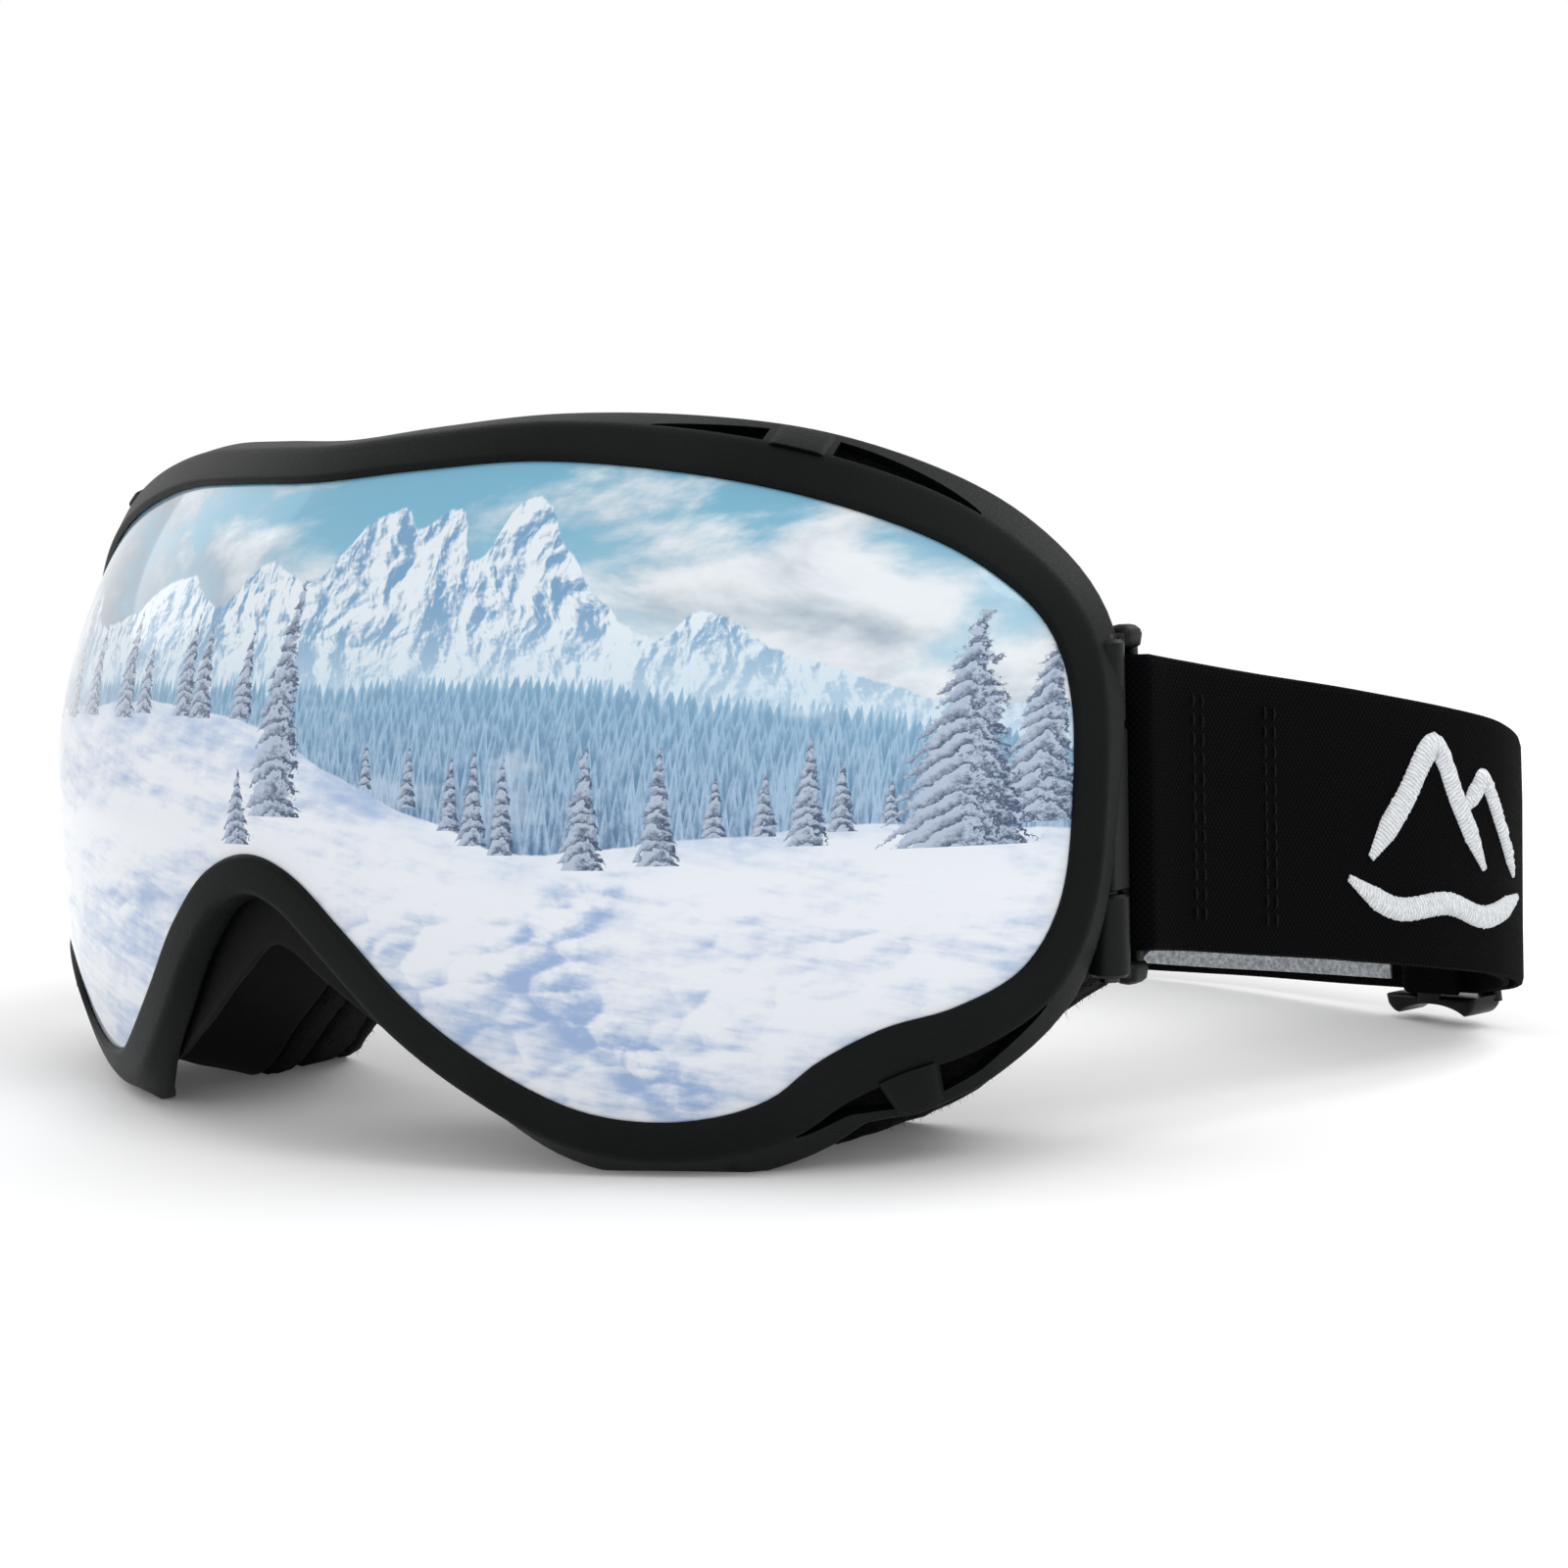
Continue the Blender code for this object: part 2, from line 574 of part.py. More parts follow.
def build_outriggers(collection, cutters, parent):
    plastic = make_material("outrigger_plastic", (0.014, 0.016, 0.016), 0.45)
    steel = make_material("pin_steel", (0.5, 0.5, 0.52), 0.3, 1.0)
    for side, sign in (("left", 1.0), ("right", -1.0)):
        pivot = Vector((sign * PIN_X, PIN_Y, 0.0)) * MM
        mesh = outrigger_plate_mesh(f"outrigger_{side}")
        pin = cylinder_mesh(f"outrigger_pin_{side}", (PIN_X, PIN_Y, OUTRIGGER_BOTTOM + 0.6),
                            (PIN_X, PIN_Y, OUTRIGGER_TOP - 0.6), PIN_RADIUS)
        block = box_mesh(f"side_mount_{side}", (MOUNT_X, PIN_Y - 2.1, MOUNT_LOW),
                         (PIN_X + 1.9, PIN_Y + 2.0, MOUNT_HIGH))
        tools = outrigger_cutters(side)
        if sign < 0:
            mesh, pin, block = (mirrored(m, m.name) for m in (mesh, pin, block))
            tools = [(mirrored(tool, tool.name), operation) for tool, operation in tools]
        mesh.transform(Matrix.Translation(-pivot))
        plate = add_object(f"outrigger_{side}", mesh, plastic, collection, parent)
        plate.location = pivot
        for tool, operation in tools:
            add_boolean(plate, add_cutter(tool.name, tool, cutters, parent), operation)
        add_object(f"outrigger_pin_{side}", pin, steel, collection, parent)
        mount = add_object(f"side_mount_{side}", block, plastic, collection, parent)
        ends = [Vector((sign * PIN_X, PIN_Y, z)) for z in (MOUNT_LOW - 2.0, MOUNT_HIGH + 2.0)]
        bore = cylinder_mesh(f"mount_bore_{side}", *ends, PIN_RADIUS + GAP)
        add_boolean(mount, add_cutter(f"mount_bore_{side}", bore, cutters, parent), "DIFFERENCE")


# ---- strap ------------------------------------------------------------------------
def strap_path(spacing=6.0):
    """Centre line of the whole strap, from the left to the right outrigger."""
    half = catmull_rom(list(STRAP_HALF), False, 10)
    length = sum(math.dist(a[:2], b[:2]) for a, b in zip(half, half[1:]))
    points = [Vector(p) for p in resample(half, round(length / spacing), False)]
    return points + [Vector((-p.x, p.y, p.z)) for p in reversed(points[:-1])]


def path_sides(path):
    """Unit vectors in plan that point to the outside of the loop along a path."""
    sides = []
    for k in range(len(path)):
        along = path[min(k + 1, len(path) - 1)] - path[max(k - 1, 0)]
        sides.append(Vector((along.y, -along.x, 0.0)).normalized())
    return sides


def ribbon_mesh(name, path, inset, thickness, low, high):
    """A band on edge along the path, inset to the inside of the loop."""
    sections = []
    for k, (point, side) in enumerate(zip(path, path_sides(path))):
        bottom = low(k) if callable(low) else low
        top = high(k) if callable(high) else high
        outer = point + side * (thickness / 2 - inset)
        inner = point - side * (thickness / 2 + inset)
        sections.append([outer + Vector((0, 0, bottom)), outer + Vector((0, 0, top)),
                         inner + Vector((0, 0, top)), inner + Vector((0, 0, bottom))])
    return mesh_from_sections(name, sections, False)


def strap_end_mesh(name, path):
    """The sewn loop round the outrigger's bar; its two tails end in round tongues."""
    reach = FLEX_RADIUS - FLEX_CLEARANCE
    outside = [p for p in path if p.y < FLEX_Y + reach - 0.6 and p.x > 0]
    half_gap = outside[0].x - PIN_X
    steps = 8
    bend = []
    for k in range(1, steps):
        angle = math.pi * k / steps
        bend.append(Vector((PIN_X + half_gap * math.cos(angle),
                            outside[0].y - 1.1 * math.sin(angle), outside[0].z)))
    inside = [Vector((2 * PIN_X - outside[0].x, p.y, p.z)) for p in outside]
    line = list(reversed(outside)) + bend + inside

    def edges(k):
        beyond = max(line[k].y - FLEX_Y, 0.0)
        tongue = math.sqrt(max(reach ** 2 - beyond ** 2, 1.0))
        sunk = line[k].z - FLEX_Z
        half = STRAP_HEIGHT / 2
        return max(-half, -tongue - sunk), min(half, tongue - sunk)

    return ribbon_mesh(name, line, 0.0, STRAP_THICKNESS,
                       lambda k: edges(k)[0], lambda k: edges(k)[1])


def tail_path(path):
    """The strap's folded-back layer, from the outrigger to the slider."""
    slider = slider_place(path)[0]
    points = []
    for point, side in zip(path, path_sides(path)):
        if point.x < 0 or point.x < slider.x + SLIDER_LENGTH / 2 and point.y > 130.0:
            break
        near = max(0.0, min(1.0, (point.y - 53.0) / 20.0))
        inset = (1.0 - near) * 2 * (path[0].x - PIN_X) + near * (STRAP_THICKNESS + GAP + 0.1)
        if point.y > FLEX_Y + 1.0:
            points.append(point - side * inset)
    return points


def slider_place(path):
    """Middle of the left slider at rest, and the direction in which it slides."""
    straight = [p for p in path if 139.0 < p.y < 155.0 and 38.0 < p.x < 92.0]
    along = (straight[-1] - straight[0]).normalized()
    return straight[0] + along * SLIDER_TRAVEL_START, along


def slider_mesh(name, path):
    """A tri-glide: two scalloped arms, joined by outer bars and one inner bar."""
    middle, along = slider_place(path)
    half = STRAP_HEIGHT / 2
    length = SLIDER_LENGTH / 2
    arm = [(-length, 0.0), (length, 0.0), (length, 1.8)]
    for k in range(9):
        share = k / 8
        x = length * (0.72 - 1.44 * share)
        arm.append((x, 2.5 - 1.3 * math.sin(math.pi * share)))
    arm.append((-length, 1.8))
    upright = Vector((0.0, 0.0, 1.0))
    out = along.cross(upright).normalized()
    up = out.cross(along)
    frame = Matrix((along, up, out)).transposed().to_4x4()
    frame.translation = middle * MM
    top = rounded_plate(name, arm, [], SLIDER_DEPTH)
    top.transform(Matrix.Translation((0.0, (half + 0.5) * MM, 0.0)))
    bottom = rounded_plate(f"{name}_lower_arm", arm, [], SLIDER_DEPTH)
    bottom.transform(Matrix.Rotation(math.pi, 4, "X") @ Matrix.Translation((0, (half + 0.5) * MM, 0)))
    bars = []
    for k, (x, side) in enumerate(((-length + 1.5, 1.0), (length - 1.5, 1.0), (0.0, -1.0))):
        face = side * (SLIDER_DEPTH / 2 - 0.7)
        bars.append(box_mesh(f"{name}_bar_{k}", (x - 1.4, -half - 1.5, face - 0.65),
                             (x + 1.4, half + 1.5, face + 0.65)))
    tools = [bottom, *bars]
    for mesh in (top, *tools):
        mesh.transform(frame)
    return top, tools


def build_sliders(collection, cutters, parent, path):
    plastic = make_material("slider_plastic", (0.012, 0.012, 0.013), 0.4)
    middle, _ = slider_place(path)
    for side, sign in (("left", 1.0), ("right", -1.0)):
        mesh, tools = slider_mesh(f"slider_{side}", path)
        if sign < 0:
            mesh = mirrored(mesh, mesh.name)
            tools = [mirrored(tool, tool.name) for tool in tools]
        origin = Vector((sign * middle.x, middle.y, middle.z)) * MM
        mesh.transform(Matrix.Translation(-origin))
        slider = add_object(f"slider_{side}", mesh, plastic, collection, parent)
        slider.location = origin
        for tool in tools:
            add_boolean(slider, add_cutter(tool.name, tool, cutters, parent), "UNION")


def build_strap(collection, cutters, parent):
    webbing = make_material("strap_webbing", (0.008, 0.008, 0.01), 0.85)
    silicone = make_material("grip_silicone", (0.62, 0.63, 0.64), 0.6)
    half = STRAP_HEIGHT / 2
    path = strap_path()
    flex = cylinder_mesh("strap_flex_cutter", (-110.0, FLEX_Y, FLEX_Z),
                         (110.0, FLEX_Y, FLEX_Z), FLEX_RADIUS, 48)
    flex_cutter = add_cutter("strap_flex_cutter", flex, cutters, parent)
    free = [p for p in path if p.y > FLEX_Y + 1.0]
    strap = add_object("strap_webbing", ribbon_mesh("strap_webbing", free, 0.0,
                       STRAP_THICKNESS, -half, half), webbing, collection, parent)
    add_boolean(strap, flex_cutter, "DIFFERENCE")
    tail = ribbon_mesh("strap_tail_left", tail_path(path), 0.0, STRAP_THICKNESS, -half, half)
    end = strap_end_mesh("strap_end_left", path)
    for side in ("left", "right"):
        if side == "right":
            tail, end = mirrored(tail, "strap_tail_right"), mirrored(end, "strap_end_right")
        tail_piece = add_object(f"strap_tail_{side}", tail, webbing, collection, parent)
        add_boolean(tail_piece, flex_cutter, "DIFFERENCE")
        add_object(f"strap_end_{side}", end, webbing, collection, parent)
    for name, low in (("grip_band_upper", half - 9.0), ("grip_band_lower", -half + 1.2)):
        stretch = [p for p in path if p.y > 144.0]
        inset = STRAP_THICKNESS / 2 + GAP + 0.2
        mesh = ribbon_mesh(name, stretch, inset, 0.4, low, low + 7.8)
        add_object(name, mesh, silicone, collection, parent)
    return path


def main():
    clear_scene()
    goggles = make_collection("ski_goggles")
    cutters = make_collection("cutters")
    stand = bpy.data.objects.new("stand", None)
    goggles.objects.link(stand)
    stand.location = (0.0, -MIDDLE_Y * MM, -GROUND_Z * MM)
    build_lenses(goggles, stand)
    build_frames(goggles, cutters, stand)
    build_vent_filters(goggles, stand)
    build_face_foam(goggles, stand)
    build_outriggers(goggles, cutters, stand)
    path = build_strap(goggles, cutters, stand)
    build_sliders(goggles, cutters, stand, path)


main()
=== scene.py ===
import math
import random

import bmesh
import bpy
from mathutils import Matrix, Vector, noise


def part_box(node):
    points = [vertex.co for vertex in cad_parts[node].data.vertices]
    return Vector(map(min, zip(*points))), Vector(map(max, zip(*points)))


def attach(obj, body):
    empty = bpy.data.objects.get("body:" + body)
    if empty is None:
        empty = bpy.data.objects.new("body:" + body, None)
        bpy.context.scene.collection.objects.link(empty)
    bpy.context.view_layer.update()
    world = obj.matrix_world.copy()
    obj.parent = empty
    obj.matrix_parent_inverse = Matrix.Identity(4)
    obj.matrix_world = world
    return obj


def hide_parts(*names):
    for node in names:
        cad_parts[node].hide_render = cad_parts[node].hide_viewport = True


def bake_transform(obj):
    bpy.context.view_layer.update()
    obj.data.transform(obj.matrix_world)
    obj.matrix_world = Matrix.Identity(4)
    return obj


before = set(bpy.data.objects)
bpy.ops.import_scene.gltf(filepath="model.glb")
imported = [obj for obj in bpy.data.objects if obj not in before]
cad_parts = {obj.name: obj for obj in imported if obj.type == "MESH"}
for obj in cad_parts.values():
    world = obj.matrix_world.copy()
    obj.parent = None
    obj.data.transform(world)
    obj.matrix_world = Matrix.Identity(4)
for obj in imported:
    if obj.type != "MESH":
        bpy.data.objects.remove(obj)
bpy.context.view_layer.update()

MM = 0.001

# ---- driving dimensions, in millimetres, in the goggles' own axes ------------------
# The origin is the lens' foremost point, +X the wearer's left, -Y forward, +Z up.
LENS_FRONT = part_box("outer_lens")[0][1] / MM
LENS_AXIS_HEIGHT = 41.6
SHIFT = Vector((0.0, LENS_FRONT, LENS_AXIS_HEIGHT))
GROUND_Z = -LENS_AXIS_HEIGHT

LENS_RADIUS_X, LENS_RADIUS_Z, LENS_BULGE_Z = 109.7, 80.9, -8.8
WALL = 1.6
FACE_Y, FACE_CURVE = 41.5, 0.0040
FOAM_LAYERS = (("face_foam_base", 5.6), ("face_foam_comfort", 7.4), ("face_fleece", 1.6))
GAP = 0.3
PANE_TRIM = 0.25
STRAP_HEIGHT, STRAP_THICKNESS = 32.6, 1.3
FLEX_Y, FLEX_Z = 56.5, -2.6
PIN_X, PIN_Y, BARREL_RADIUS = 84.0, 48.4, 2.3
OUTRIGGER_TOP, OUTRIGGER_BOTTOM = 16.5, -22.6
MOUNT_LOW, MOUNT_HIGH = -12.0, 6.0
SLIDER_LENGTH, SLIDER_DEPTH, SLIDER_START = 15.0, 6.6, 6.5
TAIL_INSET = 1.7
# The strap flexes from just before the axis at FLEX_Y to well behind it.
FLEX_BEFORE, FLEX_BEHIND = 4.0, 26.0
# The strap's straight stretch beside the back of the head, where the sliders sit.
STRAIGHT_Y, STRAIGHT_X = (139.0, 155.0), (38.0, 92.0)
STITCH_RUNS, STITCH_REACH = (8.0, 9.6, 20.4, 22.0), 13.0
GRIP_START_Y, GRIP_HALF = 144.0, 3.9
BRIDGE_HALF_WIDTH = 2.8
PAD_SPREAD = 4.8
EMBLEM_LIFT = 0.55
# Numbers of sections round the frame, of fibres on the foam, and of stitches in a row.
STATIONS, NAP_FIBRES, STITCHES = 360, 9000, 12

# One half of the lens' edge from the front: x, z, then the widths outside that edge of
# the ring's flat face, of the whole rim, and of the soft nose flange.
HALF_OUTLINE = (
    (0.0, 35.9, 4.6, 7.6, 0.0),
    (15.0, 36.5, 4.6, 7.9, 0.0),
    (29.5, 36.8, 4.8, 8.3, 0.0),
    (44.0, 35.1, 5.0, 9.2, 0.0),
    (57.0, 32.1, 5.0, 9.9, 0.0),
    (68.0, 27.8, 4.8, 9.7, 0.0),
    (75.5, 23.0, 4.3, 9.2, 0.0),
    (81.0, 16.8, 3.9, 8.2, 0.0),
    (83.8, 8.5, 3.6, 6.8, 0.0),
    (84.5, -2.5, 3.6, 6.0, 0.0),
    (83.6, -12.0, 3.7, 6.2, 0.0),
    (80.4, -19.0, 4.2, 8.0, 0.0),
    (75.0, -22.8, 4.8, 10.4, 0.0),
    (69.0, -24.8, 5.2, 11.6, 0.0),
    (63.0, -28.3, 5.0, 10.0, 0.0),
    (58.0, -32.4, 4.6, 9.2, 0.0),
    (52.0, -34.6, 4.4, 9.0, 0.0),
    (45.0, -35.1, 4.4, 8.8, 0.0),
    (38.0, -33.6, 4.4, 8.0, 0.3),
    (30.0, -29.0, 4.4, 6.0, 1.6),
    (22.0, -22.6, 4.4, 5.4, 3.4),
    (14.3, -14.6, 4.4, 5.2, 5.2),
    (7.2, -8.5, 4.4, 5.0, 6.0),
    (0.0, -6.3, 4.4, 5.0, 6.2),
)
# Vents: edge, then start, middle of the bridge, and end as x along the edge.
VENTS = (("top", 40.0, 56.2, 73.5), ("bottom", 57.5, 69.5, 80.5))

# The strap's centre line on the wearer's left, from the outrigger to the middle of the
# back: x, y and height.
STRAP_HALF = (
    (87.0, 52.8, -2.6), (87.6, 60.0, -3.7), (91.2, 74.0, -6.2), (96.0, 89.0, -8.7),
    (100.4, 104.0, -11.3), (102.2, 118.0, -14.2), (99.4, 131.0, -18.0),
    (90.0, 139.6, -20.6), (75.0, 144.6, -21.6), (58.0, 149.8, -22.7),
    (40.0, 154.2, -23.8), (20.0, 156.8, -24.3), (0.0, 157.4, -24.4),
)


# ---- curves and sections ------------------------------------------------------------
def catmull_rom(points, closed, steps):
    count = len(points)
    curve = []
    for span in range(count if closed else count - 1):
        if closed:
            four = [points[(span + k) % count] for k in (-1, 0, 1, 2)]
        else:
            four = [points[min(max(span + k, 0), count - 1)] for k in (-1, 0, 1, 2)]
        for step in range(steps):
            t = step / steps
            weights = (0.5 * (-t + 2 * t * t - t ** 3), 0.5 * (2 - 5 * t * t + 3 * t ** 3),
                       0.5 * (t + 4 * t * t - 3 * t ** 3), 0.5 * (-t * t + t ** 3))
            curve.append(tuple(sum(w * p[i] for w, p in zip(weights, four))
                               for i in range(len(points[0]))))
    if not closed:
        curve.append(tuple(points[-1]))
    return curve


def resample(curve, count, closed):
    """Points at equal distances along a curve, measured on its first two numbers."""
    loop = curve + [curve[0]] if closed else curve
    lengths = [0.0]
    for a, b in zip(loop, loop[1:]):
        lengths.append(lengths[-1] + math.hypot(b[0] - a[0], b[1] - a[1]))
    spacing = lengths[-1] / (count if closed else count - 1)
    result, index = [], 0
    for k in range(count):
        target = min(k * spacing, lengths[-1])
        while index < len(lengths) - 2 and lengths[index + 1] < target:
            index += 1
        share = (target - lengths[index]) / max(lengths[index + 1] - lengths[index], 1e-9)
        result.append(tuple(a + (b - a) * share for a, b in zip(loop[index], loop[index + 1])))
    return result


def smoothstep(low, high, value):
    t = max(0.0, min(1.0, (value - low) / (high - low)))
    return t * t * (3 - 2 * t)


def lens_y(x, z):
    """Depth of the lens' outer surface behind its foremost point."""
    rise = LENS_RADIUS_Z - math.sqrt(LENS_RADIUS_Z ** 2 - (z - LENS_BULGE_Z) ** 2)
    return LENS_RADIUS_X - math.sqrt((LENS_RADIUS_X - rise) ** 2 - x * x)


def lens_normal(x, z):
    step = 0.01
    slope_x = (lens_y(x + step, z) - lens_y(x - step, z)) / (2 * step)
    slope_z = (lens_y(x, z + step) - lens_y(x, z - step)) / (2 * step)
    return Vector((slope_x, -1.0, slope_z)).normalized()


def face_y(x):
    """Depth at which the fleece meets the face."""
    return FACE_Y + FACE_CURVE * x * x


class Station:
    """One section of the frame: a point of the lens' edge and its directions."""

    def __init__(self, here, before, after):
        self.x, self.z, self.ring, self.rim, self.flange = here
        along = Vector((after[0] - before[0], 0.0, after[1] - before[1])).normalized()
        self.flat_out = Vector((-along.z, 0.0, along.x))
        self.edge = Vector((self.x, lens_y(self.x, self.z), self.z))
        self.normal = lens_normal(self.x, self.z)
        self.out = (self.flat_out - self.normal * self.flat_out.dot(self.normal)).normalized()

    def at(self, outward, forward):
        """A point near the lens' edge, measured along and off its surface."""
        return self.edge + self.out * outward + self.normal * forward

    def back(self, outward, y):
        """A point far behind the lens, measured straight outward."""
        return Vector((self.x, y, self.z)) + self.flat_out * outward

    def inward(self, outward, depth, y):
        """As back, then moved by depth towards the line through the wearer's eyes."""
        place = self.back(outward, y)
        spine = Vector((max(-36.0, min(36.0, place.x)), y, 2.0))
        return place + (spine - place).normalized() * depth


def make_stations(count):
    mirror_half = [(-x, z, *widths) for x, z, *widths in reversed(HALF_OUTLINE[1:-1])]
    ring = resample(catmull_rom(list(HALF_OUTLINE) + mirror_half, True, 24), count, True)
    return [Station(ring[k], ring[k - 1], ring[(k + 1) % count]) for k in range(count)]


def vent_stations(edge, start_x, end_x, count):
    dense = catmull_rom(list(HALF_OUTLINE), False, 24)
    widest = max(range(len(dense)), key=lambda k: dense[k][0])
    side = dense[:widest] if edge == "top" else dense[widest:]
    stretch = [p for p in side if start_x <= p[0] <= end_x]
    points = resample(stretch, count + 2, False)
    return [Station(points[k], points[k - 1], points[k + 1]) for k in range(1, count + 1)]


def rounded(points, radius, steps=3):
    """A closed section with its corners rounded by about the radius."""
    count = len(points)
    result = []
    for k, corner in enumerate(points):
        size = radius[k] if isinstance(radius, (list, tuple)) else radius
        ends = []
        for other in (points[k - 1], points[(k + 1) % count]):
            leg = other - corner
            ends.append(corner + leg * min(size / max(leg.length, 1e-6), 0.42))
        for step in range(steps + 1):
            t = step / steps
            result.append(ends[0] * (1 - t) ** 2 + corner * 2 * t * (1 - t) + ends[1] * t * t)
    return result


def on_ground(points):
    """The points, those below the ground lifted onto it: the flats on which it stands."""
    return [Vector((p.x, p.y, max(p.z, GROUND_Z))) for p in points]


# ---- pieces -------------------------------------------------------------------------
def make_piece(name, verts, faces, material, body=None, uvs=None, sharp=40):
    """A mesh object from points in millimetres; uvs are one pair of millimetres a point."""
    mesh = bpy.data.meshes.new(name)
    mesh.from_pydata([(Vector(v) + SHIFT) * MM for v in verts], [], faces)
    solid = bmesh.new()
    solid.from_mesh(mesh)
    bmesh.ops.recalc_face_normals(solid, faces=solid.faces)
    solid.to_mesh(mesh)
    solid.free()
    if uvs:
        layer = mesh.uv_layers.new(name="run")
        for loop in mesh.loops:
            layer.data[loop.index].uv = uvs[loop.vertex_index]
    mesh.validate()
    mesh.shade_smooth()
    mesh.set_sharp_from_angle(angle=math.radians(sharp))
    mesh.materials.append(material)
    obj = bpy.data.objects.new(name, mesh)
    bpy.context.scene.collection.objects.link(obj)
    if body:
        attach(obj, body)
    return obj


def loft_data(sections, closed):
    """Points and faces of a loft through equal closed sections."""
    size = len(sections[0])
    verts = [p for section in sections for p in section]
    faces = []
    rows = len(sections)
    for row in range(rows if closed else rows - 1):
        first, second = row * size, (row + 1) % rows * size
        for k in range(size):
            after = (k + 1) % size
            faces.append((first + k, second + k, second + after, first + after))
    if not closed:
        faces.append(tuple(range(size)))
        faces.append(tuple(reversed(range((rows - 1) * size, rows * size))))
    return verts, faces


def merge(parts):
    """One list of points and faces out of several."""
    verts, faces = [], []
    for part_verts, part_faces in parts:
        base = len(verts)
        verts.extend(part_verts)
        faces.extend(tuple(base + i for i in face) for face in part_faces)
    return verts, faces


def loft(name, sections, closed, material, body, sharp=40):
    verts, faces = loft_data(sections, closed)
    return make_piece(name, verts, faces, material, body, sharp=sharp)


def flip_x(part):
    """The same points and faces on the wearer's other side."""
    verts, faces = part
    return [Vector((-v.x, v.y, v.z)) for v in verts], [tuple(reversed(f)) for f in faces]


def both_sides(part):
    """The part for the wearer's left, and its mirror image for the right."""
    return ("left", part), ("right", flip_x(part))


def block_data(low, high, radius):
    """A box with rounded edges, as a loft along z."""
    radius = min(radius, *((b - a) * 0.45 for a, b in zip(low, high)))
    sections = []
    for k in range(7):
        angle = math.radians(30 * min(k, 6 - k))
        inset = radius * (1 - math.sin(angle))
        rise = radius * (1 - math.cos(angle))
        z = low[2] + rise if k < 3 else high[2] - rise
        near_x, far_x = low[0] + inset, high[0] - inset
        near_y, far_y = low[1] + inset, high[1] - inset
        corners = [Vector((x, y, z)) for x, y in
                   ((near_x, near_y), (far_x, near_y), (far_x, far_y), (near_x, far_y))]
        sections.append(rounded(corners, radius, 4))
    return loft_data(sections, False)


def turned_data(x, y, profile):
    """A round piece about an upright axis; profile is a list of radius and z."""
    turns = [2 * math.pi * k / 32 for k in range(32)]
    sections = [[Vector((x + radius * math.cos(turn), y + radius * math.sin(turn), z))
                 for turn in turns] for radius, z in profile]
    return loft_data(sections, False)


# ---- materials ----------------------------------------------------------------------
def feed(slot, value):
    """Link a drawn value into a node's input, or set the input to a plain one."""
    if isinstance(value, Val):
        value.tree.links.new(value.socket, slot)
    else:
        slot.default_value = value


class Val:
    """A socket in a material's node tree, with ordinary arithmetic."""

    def __init__(self, tree, socket):
        self.tree, self.socket = tree, socket

    def math(self, operation, *others):
        node = self.tree.nodes.new("ShaderNodeMath")
        node.operation = operation
        for slot, value in zip(node.inputs, (self, *others)):
            feed(slot, value)
        return Val(self.tree, node.outputs[0])

    def __add__(self, other):
        return self.math("ADD", other)

    def __sub__(self, other):
        return self.math("SUBTRACT", other)

    def __rsub__(self, other):
        return self.math("MULTIPLY_ADD", -1.0, other)

    def __mul__(self, other):
        return self.math("MULTIPLY", other)

    def __truediv__(self, other):
        return self.math("DIVIDE", other)

    __radd__ = __add__
    __rmul__ = __mul__

    def step(self, low, high):
        """Smooth 0 to 1 as the value goes from low to high."""
        node = self.tree.nodes.new("ShaderNodeMapRange")
        node.interpolation_type = "SMOOTHSTEP"
        for name, value in (("Value", self), ("From Min", low), ("From Max", high)):
            feed(node.inputs[name], value)
        return Val(self.tree, node.outputs["Result"])

    def mix(self, first, second):
        """Colour between first and second by this value."""
        node = self.tree.nodes.new("ShaderNodeMix")
        node.data_type = "RGBA"
        feed(node.inputs[0], self)
        for slot, value in ((node.inputs[6], first), (node.inputs[7], second)):
            feed(slot, value if isinstance(value, Val) else (*value, 1.0))
        return Val(self.tree, node.outputs[2])


